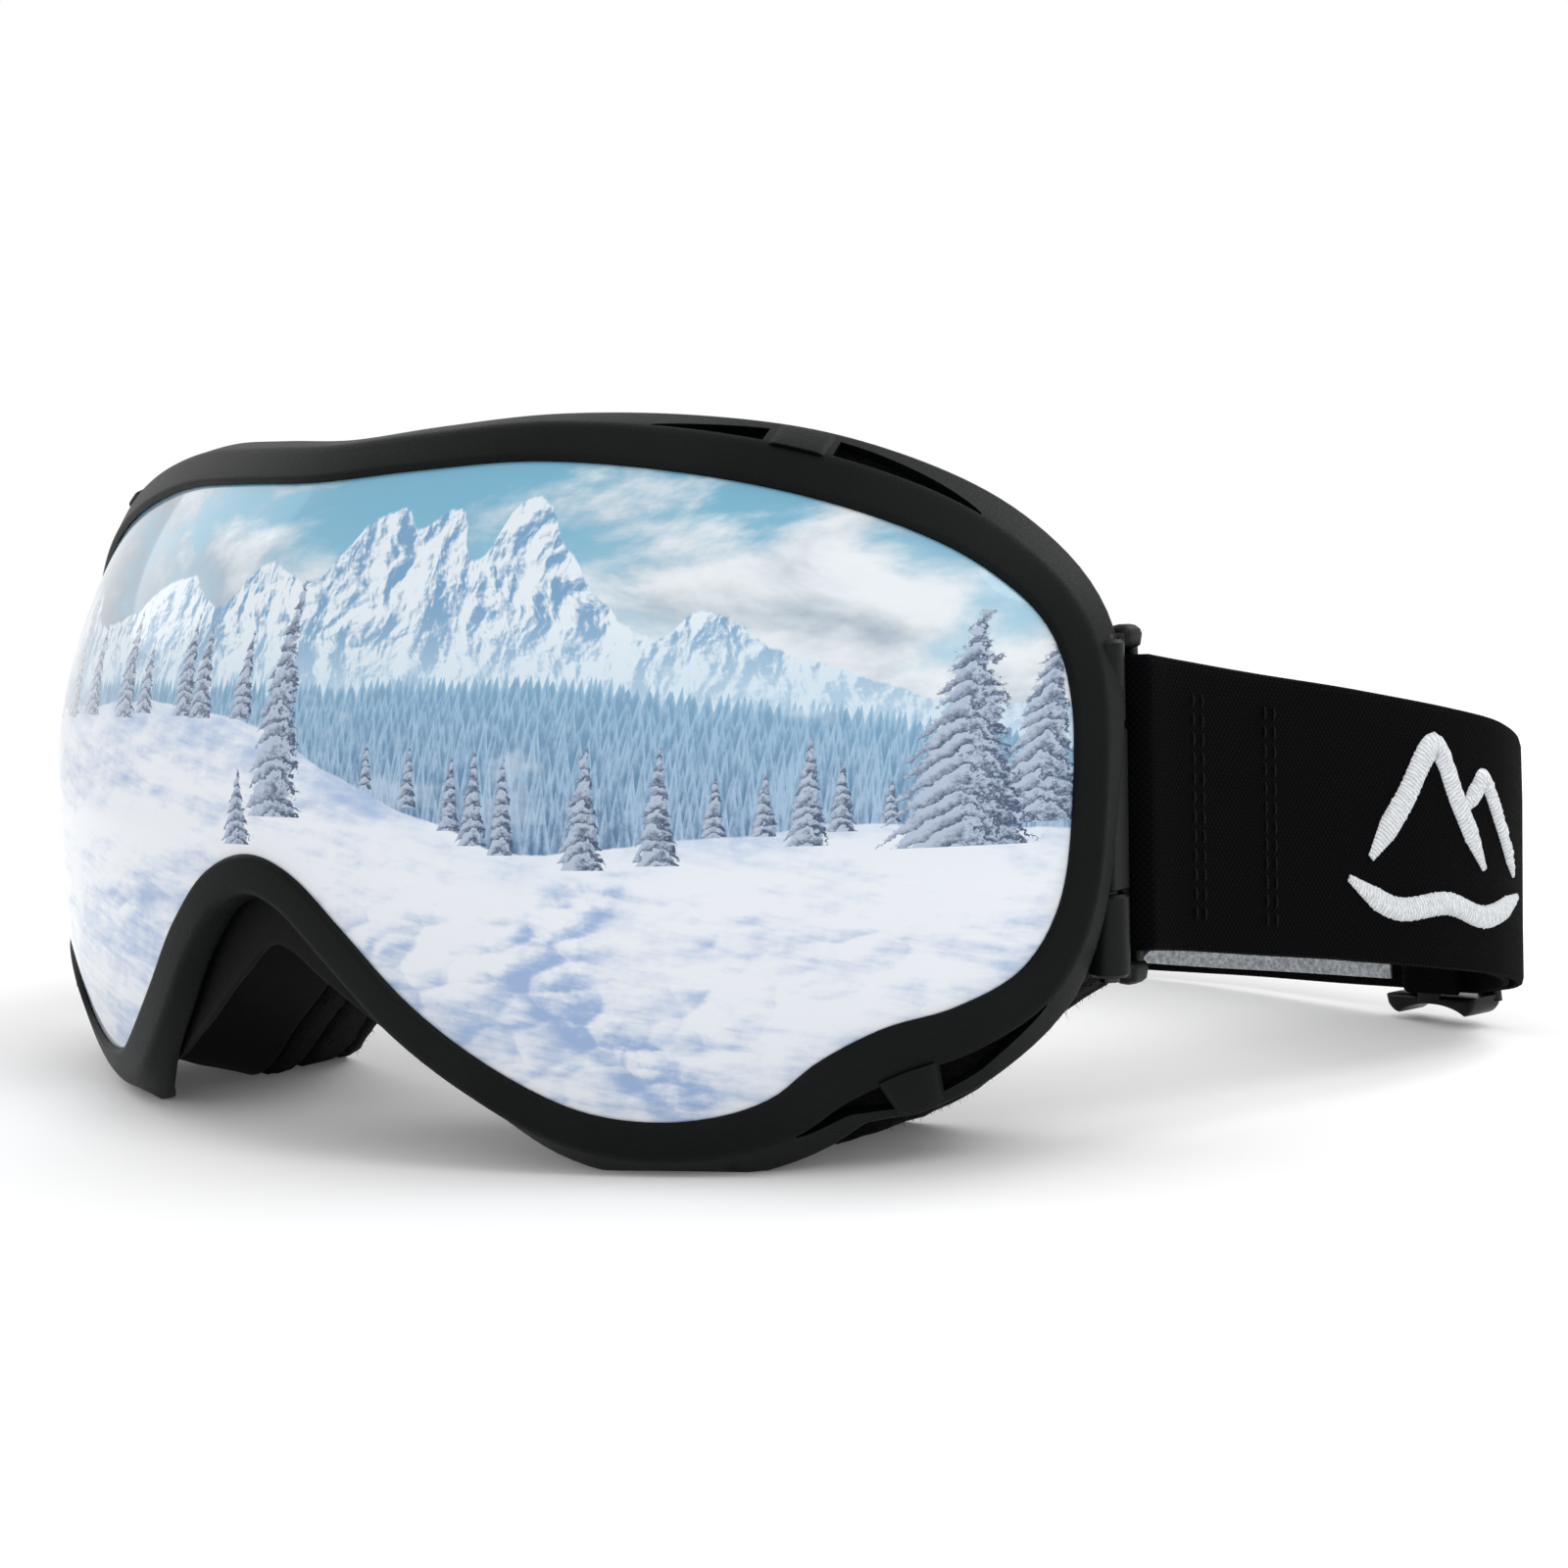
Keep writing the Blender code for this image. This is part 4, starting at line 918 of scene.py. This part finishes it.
def make_foams(stations, materials):
    """Three soft layers with bulging sides; their cut faces are uneven."""
    depth = sum(thick for _, thick in FOAM_LAYERS) + 2 * GAP
    for (node, thick), material in zip(FOAM_LAYERS, materials):
        front = -depth
        sections = []
        for s in stations:
            spread = pad_spread(s)
            outer = wall_edge(s) + spread + 0.35
            half = 4.6 + spread / 4
            y = face_y(s.x) + front
            section = []
            for angle in range(0, 360, 20):
                turn = math.radians(angle + 10)
                across = math.copysign(abs(math.cos(turn)) ** 0.45, math.cos(turn))
                deep = math.copysign(abs(math.sin(turn)) ** 0.45, math.sin(turn))
                spot_y = y + thick / 2 + deep * thick * 0.49
                spot = s.inward(outer, half - 0.1 - across * half, spot_y)
                rough = noise.noise(spot * 0.55) * 0.28 + noise.noise(spot * 1.7) * 0.16
                section.append(spot + s.flat_out * across * (rough + 0.1))
            sections.append(on_ground(section))
        pad = loft(node.replace("face_", "pad_"), sections, True, material, "frame", 80)
        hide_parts(node)
        depth -= thick + GAP


def make_nap(stations, material):
    """Loose fibres that stand off the outside of the comfort foam and the fleece."""
    draw = random.Random(7)
    verts, faces = [], []
    for _ in range(NAP_FIBRES):
        s = stations[draw.randrange(len(stations))]
        y = face_y(s.x) - draw.uniform(0.1, 8.6)
        root = s.back(wall_edge(s) + pad_spread(s) + 0.3, y)
        if root.z < GROUND_Z + 1.0:
            continue
        length = draw.uniform(0.25, 0.75)
        lean = Vector((draw.gauss(0, 0.5), draw.gauss(0, 0.5), draw.gauss(0, 0.5)))
        tip = root + (s.flat_out + lean * 0.8) * length
        across = Vector((0.0, 1.0, 0.0)).cross(tip - root).normalized() * 0.045
        behind = across.cross(tip - root).normalized() * 0.06
        base = len(verts)
        verts.extend((root - across, root + across, root + behind, tip))
        faces.extend([(base, base + 1, base + 3), (base + 1, base + 2, base + 3),
                      (base + 2, base, base + 3), (base, base + 2, base + 1)])
    nap = make_piece("fleece_nap", verts, faces, material, "frame")


# ---- strap ----------------------------------------------------------------------------
def strap_line(spacing=1.2):
    """Centre line of the outer strap, from the left to the right outrigger."""
    half = catmull_rom(list(STRAP_HALF), False, 24)
    length = sum(math.dist(a[:2], b[:2]) for a, b in zip(half, half[1:]))
    points = [Vector(p) for p in resample(half, round(length / spacing), False)]
    return points + [Vector((-p.x, p.y, p.z)) for p in reversed(points[:-1])]


def line_sides(line):
    """Unit vectors in plan to the outside of the loop."""
    sides = []
    for k in range(len(line)):
        along = line[min(k + 1, len(line) - 1)] - line[max(k - 1, 0)]
        sides.append(Vector((along.y, -along.x, 0.0)).normalized())
    return sides


def run_lengths(line):
    """Each point's distance along the line from its start."""
    lengths = [0.0]
    for a, b in zip(line, line[1:]):
        lengths.append(lengths[-1] + (b - a).length)
    return lengths


def flex_ends():
    """In metres, where the flexing stretch behind the outriggers starts and ends."""
    height, middle = (FLEX_Z + SHIFT.z) * MM, (FLEX_Y + SHIFT.y) * MM
    return (0.0, middle - FLEX_BEFORE * MM, height), (0.0, middle + FLEX_BEHIND * MM, height)


def slider_spot(line):
    """Middle of the left slider at rest, and the direction in which it slides."""
    (low_y, high_y), (low_x, high_x) = STRAIGHT_Y, STRAIGHT_X
    straight = [p for p in line if low_y < p.y < high_y and low_x < p.x < high_x]
    along = (straight[-1] - straight[0]).normalized()
    return straight[0] + along * SLIDER_START, along


def tail_line(line):
    """Centre line of the folded-back layer on the left, from its end to the loop."""
    spot, along = slider_spot(line)
    points = []
    for point, side in zip(line, line_sides(line)):
        if (point - spot).dot(along) > -SLIDER_LENGTH / 2 and point.y > 130.0:
            break
        near = smoothstep(53.0, 73.0, point.y)
        inset = (1.0 - near) * 2 * (line[0].x - PIN_X) + near * TAIL_INSET
        points.append(point - side * inset)
    return list(reversed(points))


def whole_line():
    """The elastic's one run: left tail, left loop, outer strap, right loop, right tail."""
    line = strap_line()
    tail = tail_line(line)
    reach = line[0].x - PIN_X
    loop = []
    for k in range(1, 12):
        angle = math.pi * k / 12
        loop.append(Vector((PIN_X - reach * math.cos(angle),
                            line[0].y - 1.15 * math.sin(angle), line[0].z)))
    left = tail + loop
    right = [Vector((-p.x, p.y, p.z)) for p in reversed(left)]
    return left + line + right


def band(name, line, half, material, wave=0.0):
    """Webbing on edge along the line, with soft edges; u runs along it and v across."""
    sections, uvs = [], []
    run = 0.0
    for k, point in enumerate(line):
        along = line[min(k + 1, len(line) - 1)] - line[max(k - 1, 0)]
        side = Vector((along.y, -along.x, 0.0)).normalized()
        if k:
            run += (point - line[k - 1]).length
        sag = wave * math.sin(run * 0.11) * 0.12
        section = []
        for z, depth in band_profile(half):
            swell = wave * (0.10 * math.sin(run * 0.21 + z * 0.3) * (z / half) ** 2)
            section.append(point + side * (depth + swell) + Vector((0, 0, z + sag)))
            uvs.append((run, z))
        sections.append(section)
    verts, faces = loft_data(sections, False)
    return make_piece(name, verts, faces, material, uvs=uvs, sharp=70)


def band_profile(half):
    """Section of a woven band: flat faces, thin selvedges and a rounded edge."""
    deep = STRAP_THICKNESS / 2
    outer = [(-half + 0.25, deep * 0.62), (-half + 1.1, deep * 0.94), (-half * 0.5, deep),
             (0.0, deep), (half * 0.5, deep), (half - 1.1, deep * 0.94),
             (half - 0.25, deep * 0.62), (half, 0.0)]
    return outer + [(z, -depth) for z, depth in reversed(outer[:-1])] + [(-half, 0.0)]


def make_strap(material):
    strap = band("strap_band", whole_line(), STRAP_HEIGHT / 2, material, wave=1.0)
    start, end = flex_ends()
    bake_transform(strap)
    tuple(start)
    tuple(end)
    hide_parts("strap_webbing", "strap_tail_left", "strap_tail_right",
                "strap_end_left", "strap_end_right")


def on_strap(line, lengths, run, height, lift):
    """The point of the strap's outer face at a run from the left outrigger."""
    index = max(0, min(len(line) - 2, sum(1 for length in lengths if length <= run) - 1))
    share = (run - lengths[index]) / (lengths[index + 1] - lengths[index])
    along = line[index + 1] - line[index]
    before = line[index] - line[max(index - 1, 0)]
    heading = before.lerp(along, 0.5 + share / 2)
    side = Vector((heading.y, -heading.x, 0.0)).normalized()
    return line[index].lerp(line[index + 1], share) + side * lift + Vector((0, 0, height))


def stroke_data(path, width, lift, place, seed):
    """A raised stroke of satin stitch along a path of run and height on the strap."""
    curve = resample(catmull_rom(path, False, 16), 110, False)
    sections, uvs = [], []
    steps, run = 13, seed
    base = STRAP_THICKNESS / 2
    for k, (u, v) in enumerate(curve):
        before, after = curve[max(k - 1, 0)], curve[min(k + 1, len(curve) - 1)]
        along = Vector((after[0] - before[0], after[1] - before[1])).normalized()
        across = Vector((-along.y, along.x))
        share = k / (len(curve) - 1)
        taper = min(1.0, 5.0 * min(share, 1.0 - share) + 0.32)
        ragged = 1.0 + 0.12 * noise.noise(Vector((k * 0.9, seed, 0.0)))
        reach = width / 2 * taper * ragged
        if k:
            run += math.dist(curve[k - 1], curve[k])
        section = []
        for step in range(steps):
            t = 2.0 * step / (steps - 1) - 1.0
            spot = Vector((u, v)) + across * (t * reach)
            fluff = 1.0 + 0.45 * noise.noise(Vector((spot.x * 1.9, spot.y * 1.9, 0.5)))
            dome = lift * (1.0 - abs(t) ** 3.0) * taper * fluff + 0.05
            section.append(place(spot.x, spot.y, base + dome))
            uvs.append((run, t * width / 2))
        for t in (1.0, -1.0):
            spot = Vector((u, v)) + across * (t * reach)
            section.append(place(spot.x, spot.y, base - 0.05))
            uvs.append((run, t * width / 2))
        sections.append(section)
    verts, faces = loft_data(sections, False)
    return verts, faces, uvs


def make_emblem(side, material):
    """A generic emblem of three stitched strokes: two peaks over a curved slope."""
    line = strap_line()
    lengths = run_lengths(line)
    verts, faces, uvs = [], [], []

    def place(run, height, lift):
        return on_strap(line, lengths, run, height, lift)

    strokes = (
        (((38.5, -3.6), (44.5, 3.6), (50.5, 11.0), (55.5, 4.6), (61.5, -3.2)), 3.3),
        (((56.6, 3.6), (59.6, 6.4), (61.8, 8.0), (66.0, 3.0), (71.0, -3.0)), 2.7),
        (((34.5, -6.2), (43.0, -9.4), (53.0, -8.2), (62.0, -9.2), (73.0, -5.4)), 2.9),
    )
    for path, width in strokes:
        data = stroke_data(path, width, EMBLEM_LIFT, place, len(verts) * 0.1)
        verts, faces = merge(((verts, faces), data[:2]))
        uvs.extend(data[2])
    if side == "right":
        verts, faces = flip_x((verts, faces))
    emblem = make_piece(f"strap_emblem_{side}", verts, faces, material, "strap", uvs, sharp=70)


def make_grips(material):
    """Silicone print on the inner face of the strap behind the head."""
    line = [p for p in strap_line() if p.y > GRIP_START_Y]
    sides = line_sides(line)
    inner = STRAP_THICKNESS / 2 + 0.02
    for node, low in (("grip_band_upper", STRAP_HEIGHT / 2 - 9.0),
                      ("grip_band_lower", -STRAP_HEIGHT / 2 + 1.2)):
        sections = []
        for k, (point, side) in enumerate(zip(line, sides)):
            section = []
            for t in (-1.0, -0.97, -0.88, -0.5, 0.0, 0.5, 0.88, 0.97, 1.0):
                ragged = 0.06 * noise.noise(Vector((k * 0.7, t * 3.0, low)))
                dome = 0.26 * (1.0 - abs(t) ** 10) + 0.04 + ragged * (1 - abs(t))
                height = low + GRIP_HALF + GRIP_HALF * t
                section.append(point - side * (inner + dome) + Vector((0, 0, height)))
            for height in (low + 7.6, low + 0.2):
                section.append(point - side * (inner - 0.1) + Vector((0, 0, height)))
            sections.append(section)
        grip = loft(f"{node}_print", sections, False, material, "strap", 70)
        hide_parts(node)


def make_tail_stitches(material):
    """Upright rows of thread that hold each folded-back tail near its loop."""
    line = strap_line()
    lengths = run_lengths(line)
    turns = [2 * math.pi * i / 6 for i in range(6)]
    parts = []
    for run in STITCH_RUNS:
        out = on_strap(line, lengths, run, 0.0, 1.0) - on_strap(line, lengths, run, 0.0, 0.0)
        ahead = out.cross(Vector((0, 0, 1)))
        for k in range(STITCHES):
            low = -STITCH_REACH + 2 * STITCH_REACH * (k + 0.14) / STITCHES
            high = -STITCH_REACH + 2 * STITCH_REACH * (k + 0.86) / STITCHES
            sections = []
            for step in range(5):
                bow = math.sin(math.pi * step / 4)
                centre = on_strap(line, lengths, run, low + (high - low) * (step / 4),
                                  STRAP_THICKNESS / 2 + 0.12 * bow - 0.02)
                size = 0.17 * (0.55 + 0.45 * bow)
                sections.append([centre + (out * math.sin(turn) + ahead * math.cos(turn)) * size
                                 for turn in turns])
            parts.append(loft_data(sections, False))
    start, end = flex_ends()
    for side, part in both_sides(merge(parts)):
        stitches = make_piece(f"strap_stitches_{side}", *part, material)
        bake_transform(stitches)
        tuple(start)
        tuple(end)


def local_band(spot, along, path, half, name, material):
    """Webbing on edge along a path of run and depth measured from the slider's middle."""
    out = Vector((along.y, -along.x, 0.0)).normalized()
    line = [spot + along * a + out * b for a, b in path]
    return band(name, line, half, material)


def make_tail_folds(material):
    """Each tail's last stretch, and its sewn fold, which rides on the slider."""
    spot, along = slider_spot(strap_line())
    half = STRAP_HEIGHT / 2 - 0.1
    reach = SLIDER_LENGTH / 2
    overlap, radius = 1.2, 1.3
    stretch = [(-reach - overlap + 0.8 * k, -TAIL_INSET) for k in range(10)]
    turn = [(-1.5 + 0.35 * k, -TAIL_INSET) for k in range(8)]
    middle = -TAIL_INSET - radius
    for k in range(1, 10):
        angle = math.pi * k / 10
        turn.append((1.1 + radius * math.sin(angle), middle + radius * math.cos(angle)))
    turn += [(1.0 - 0.8 * k, middle - radius - 0.1) for k in range(11)]
    for side, sign in (("left", 1.0), ("right", -1.0)):
        flip = Vector((sign, 1.0, 1.0))
        place, heading = spot * flip, along * flip
        run = [(a, b * sign) for a, b in stretch]
        tail = local_band(place, heading, run, half, f"tail_stretch_{side}", material)
        ends = [on_frame(place + heading * a) for a in (-reach + 0.2, -1.7)]
        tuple(ends[0])
        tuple(ends[1])
        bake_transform(tail)
        fold = local_band(place, heading, [(a, b * sign) for a, b in turn], half,
                          f"tail_fold_{side}", material)
        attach(fold, f"slider_{side}")


def on_frame(point):
    """A point in goggles millimetres as metres in the shared frame."""
    return tuple((point + SHIFT) * MM)


# ---- hard parts on the strap ------------------------------------------------------------
def slider_data(line):
    """A tri-glide: two scalloped arms joined by two outer bars and one inner bar."""
    # Each arm is highest at its two crests, and lower between them and at its ends.
    middle, along = slider_spot(line)
    out = along.cross(Vector((0.0, 0.0, 1.0))).normalized()
    up = out.cross(along).normalized()
    half, length, deep = STRAP_HEIGHT / 2, SLIDER_LENGTH / 2, SLIDER_DEPTH / 2
    crest, crest_share = 2.6, 0.74
    parts = []
    for sign in (1.0, -1.0):
        sections = []
        for k in range(33):
            t = 2.0 * k / 32 - 1.0
            x = t * length
            round_end = math.sqrt(max(1.0 - abs(t) ** 14, 0.0))
            if abs(t) > crest_share:
                scallop = crest - 1.1 * ((abs(t) - crest_share) / (1.0 - crest_share)) ** 1.6
            else:
                scallop = crest - 1.5 * (1.0 - (t / crest_share) ** 2) ** 0.8
            low, high = half + 0.45, half + 0.5 + scallop * (0.3 + 0.7 * round_end)
            width = deep * (0.86 + 0.14 * round_end)
            corners = [(-width, low), (width, low), (width, high), (-width, high)]
            section = [middle + along * x + out * a + up * (b * sign) for a, b in corners]
            sections.append(rounded(section, 0.75, 4))
        parts.append(loft_data(sections, False))
    bars = ((-length + 1.5, deep - 0.75, 1.4, 0.72), (length - 1.5, deep - 0.75, 1.4, 0.72),
            (0.0, -deep + 0.35, 1.5, 0.5))
    for x, face, wide, thick in bars:
        sections = []
        for k in range(9):
            v = (2.0 * k / 8 - 1.0) * (half + 1.4)
            flare = 1.0 + 0.25 * abs(2.0 * k / 8 - 1.0) ** 6
            corners = [(x - wide * flare, face - thick), (x + wide * flare, face - thick),
                       (x + wide * flare, face + thick), (x - wide * flare, face + thick)]
            section = [middle + along * a + out * b + up * v for a, b in corners]
            sections.append(rounded(section, 0.5, 3))
        parts.append(loft_data(sections, False))
    return merge(parts)


def make_sliders(material):
    for side, part in both_sides(slider_data(strap_line())):
        slider = make_piece(f"tri_glide_{side}", *part, material, f"slider_{side}", sharp=50)
        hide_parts(f"slider_{side}")


def outrigger_data():
    """A slotted plate on two knuckles, which leave room between them for the mount."""
    front, rear = PIN_Y + 1.5, PIN_Y + 6.1
    low, high = OUTRIGGER_BOTTOM, OUTRIGGER_TOP
    parts = []
    thick, wide, radius = 1.1, 0.78, 1.4
    centre_front, centre_rear = front + 0.75, rear - 0.8
    path = []
    corners = ((centre_rear, high - thick, 0), (centre_front, high - thick, 90),
               (centre_front, low + thick, 180), (centre_rear, low + thick, 270))
    turns = ((-1, -1), (1, -1), (1, 1), (-1, 1))
    for (y, z, start), (turn_y, turn_z) in zip(corners, turns):
        for k in range(7):
            angle = math.radians(start + 90 * k / 6)
            path.append(Vector((PIN_X, y + turn_y * radius + radius * math.cos(angle),
                                z + turn_z * radius + radius * math.sin(angle))))
    sections = []
    for k, point in enumerate(path):
        along = (path[(k + 1) % len(path)] - path[k - 1]).normalized()
        side = Vector((1.0, 0.0, 0.0)).cross(along)
        corners = [point + Vector((a, 0, 0)) + side * b
                   for a, b in ((-thick, -wide), (thick, -wide), (thick, wide), (-thick, wide))]
        sections.append(rounded(corners, 0.45, 3))
    parts.append(loft_data(sections, True))
    for bottom, top in ((low - 0.35, low + 2.5), (high - 2.5, high + 0.35)):
        boss = (PIN_X - 1.5, rear - 3.4, bottom), (PIN_X + 1.5, rear + 0.7, top)
        parts.append(block_data(*boss, 1.1))
    ends = ((low + 1.2, MOUNT_LOW - GAP), (MOUNT_HIGH + GAP, high - 1.2))
    r = BARREL_RADIUS
    for bottom, top in ends:
        shape = ((r - 0.9, bottom), (r - 0.35, bottom), (r, bottom + 0.35), (r, top - 0.35),
                 (r - 0.35, top), (r - 0.9, top))
        parts.append(turned_data(PIN_X, PIN_Y, shape))
        parts.append(block_data((PIN_X - 1.05, PIN_Y + 1.2, bottom + 0.3),
                                (PIN_X + 1.05, front + 0.9, top - 0.3), 0.4))
    return merge(parts)


def make_outriggers(material):
    for side, part in both_sides(outrigger_data()):
        piece = make_piece(f"outrigger_{side}_moulding", *part, material, f"outrigger_{side}")
        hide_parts(f"outrigger_{side}")


def make_mounts(material):
    """The chassis' hinge block, with a web that ties it into the wall."""
    block = block_data((PIN_X - 4.4, PIN_Y - 2.1, MOUNT_LOW),
                       (PIN_X + 1.9, PIN_Y + 2.0, MOUNT_HIGH), 0.6)
    web = block_data((PIN_X - 8.6, PIN_Y - 2.6, MOUNT_LOW + 2.0),
                     (PIN_X - 4.0, PIN_Y + 0.2, MOUNT_HIGH - 2.0), 0.8)
    for side, part in both_sides(merge((block, web))):
        mount = make_piece(f"hinge_mount_{side}", *part, material, "frame")
        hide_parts(f"side_mount_{side}")


def dress(node, material):
    """Give a CAD node that stays its finished material."""
    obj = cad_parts[node]
    obj.data.materials.clear()
    obj.data.materials.append(material)


# ---- studio, in metres in the shared frame ----------------------------------------------
LIGHT_TARGET = Vector((0.0, 0.0, 0.04))


def make_floor():
    mesh = bpy.data.meshes.new("studio_floor")
    half = 6.0
    mesh.from_pydata([(-half, -half, 0), (half, -half, 0), (half, half, 0), (-half, half, 0)],
                     [], [(0, 1, 2, 3)])
    floor = bpy.data.objects.new("studio_floor", mesh)
    bpy.context.scene.collection.objects.link(floor)
    paint = Paint("studio_floor_paint", 0.9)
    paint.set("Base Color", (0.95, 0.95, 0.95, 1.0))
    paint.set("Specular IOR Level", 0.0)
    paint.set("Emission Color", (1.0, 1.0, 1.0, 1.0))
    paint.set("Emission Strength", 0.05)
    mesh.materials.append(paint.material)


def make_light(name, place, size, power):
    data = bpy.data.lights.new(name, "AREA")
    data.shape = "DISK"
    data.size = size
    data.energy = power
    light = bpy.data.objects.new(name, data)
    light.location = place
    direction = LIGHT_TARGET - Vector(place)
    light.rotation_euler = direction.to_track_quat("-Z", "Y").to_euler()
    bpy.context.scene.collection.objects.link(light)


def make_studio():
    world = bpy.data.worlds.new("studio")
    world.use_nodes = True
    background = world.node_tree.nodes["Background"]
    background.inputs["Color"].default_value = (1.0, 1.0, 1.0, 1.0)
    background.inputs["Strength"].default_value = 1.0
    scene = bpy.context.scene
    scene.world = world
    scene.view_settings.view_transform = "Standard"
    make_light("key", (0.75, -0.15, 0.75), 0.35, 1.8)
    make_light("fill", (-0.90, -0.10, 0.55), 0.6, 0.8)
    make_light("rim", (0.30, 0.55, 0.60), 0.4, 1.2)


def make_camera():
    """The photograph's viewpoint, 37 degrees round to the wearer's left."""
    data = bpy.data.cameras.new("camera")
    data.sensor_width, data.lens = 36.0, 54.36
    camera = bpy.data.objects.new("camera", data)
    camera.location = (0.2103, LENS_FRONT * MM - 0.1770, 0.0633)
    camera.rotation_euler = [math.radians(a) for a in (85.324, 1.811, 36.881)]
    bpy.context.scene.collection.objects.link(camera)
    bpy.context.scene.camera = camera


def main():
    make_camera()
    make_studio()
    make_floor()
    charcoal = moulded_material("frame_charcoal_grain", (0.0012, 0.0020, 0.0020),
                                (0.0062, 0.0086, 0.0086), 0.46, specular=0.1)
    black = moulded_material("chassis_black_grain", (0.0012, 0.0014, 0.0015),
                             (0.0045, 0.005, 0.0053), 0.6, 2.4, specular=0.1)
    nylon = moulded_material("outrigger_nylon", (0.0016, 0.002, 0.002),
                             (0.006, 0.0072, 0.0072), 0.42, 4.0, 0.03, 0.14)
    acetal = moulded_material("slider_acetal", (0.0015, 0.0015, 0.0018),
                              (0.006, 0.006, 0.0066), 0.34, 5.0, 0.02, 0.18)
    base = foam_material("face_foam_base_cells", (0.003, 0.003, 0.0032), (0.014, 0.014, 0.015),
                         2.2, 0.35)
    comfort = foam_material("face_foam_comfort_cells", (0.004, 0.004, 0.0043),
                            (0.019, 0.019, 0.020), 2.8, 0.3)
    fleece = foam_material("face_fleece_nap", (0.005, 0.005, 0.0053), (0.026, 0.026, 0.028),
                           3.6, 0.25, 0.05)
    filters = foam_material("vent_filter_cells", (0.001, 0.001, 0.001), (0.006, 0.006, 0.0065),
                            1.4, 0.5)
    webbing = webbing_material()
    white_thread = thread_material("emblem_thread", (0.50, 0.53, 0.56), (0.86, 0.88, 0.90), 0.5)
    black_thread = thread_material("seam_thread", (0.0006, 0.0006, 0.0008), (0.004, 0.004, 0.005),
                                   0.4)
    stations = make_stations(STATIONS)
    mirror = painted_reflection_material()
    tint = clear_material("lens_inside_tint", (0.25, 0.30, 0.34), 0.05, 0.6)
    clear = clear_material("inner_pane_clear", (0.86, 0.9, 0.92), 0.03)
    shell = pane("lens_shell", stations, 1.1, 0.0, 1.2, mirror, tint)
    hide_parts("outer_lens")
    inner = pane("inner_pane", stations[::2], -2.5, 4.6, 0.9, clear, clear, 14)
    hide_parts("inner_lens")
    make_ring(stations, charcoal)
    make_bridges(charcoal)
    make_scrims(filters)
    chassis = loft("chassis", [chassis_section(s) for s in stations], True, black, "frame", 50)
    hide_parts("inner_frame")
    make_foams(stations, (base, comfort, fleece))
    make_nap(stations, fleece)
    make_strap(webbing)
    for side in ("left", "right"):
        make_emblem(side, white_thread)
    make_tail_stitches(black_thread)
    make_tail_folds(webbing)
    make_grips(silicone_material())
    make_sliders(acetal)
    make_outriggers(nylon)
    make_mounts(nylon)
    steel = steel_material()
    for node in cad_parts:
        if node.startswith("vent_filter"):
            dress(node, filters)
        elif node.startswith("outrigger_pin"):
            dress(node, steel)
    dress("lens_spacer", filters)


main()
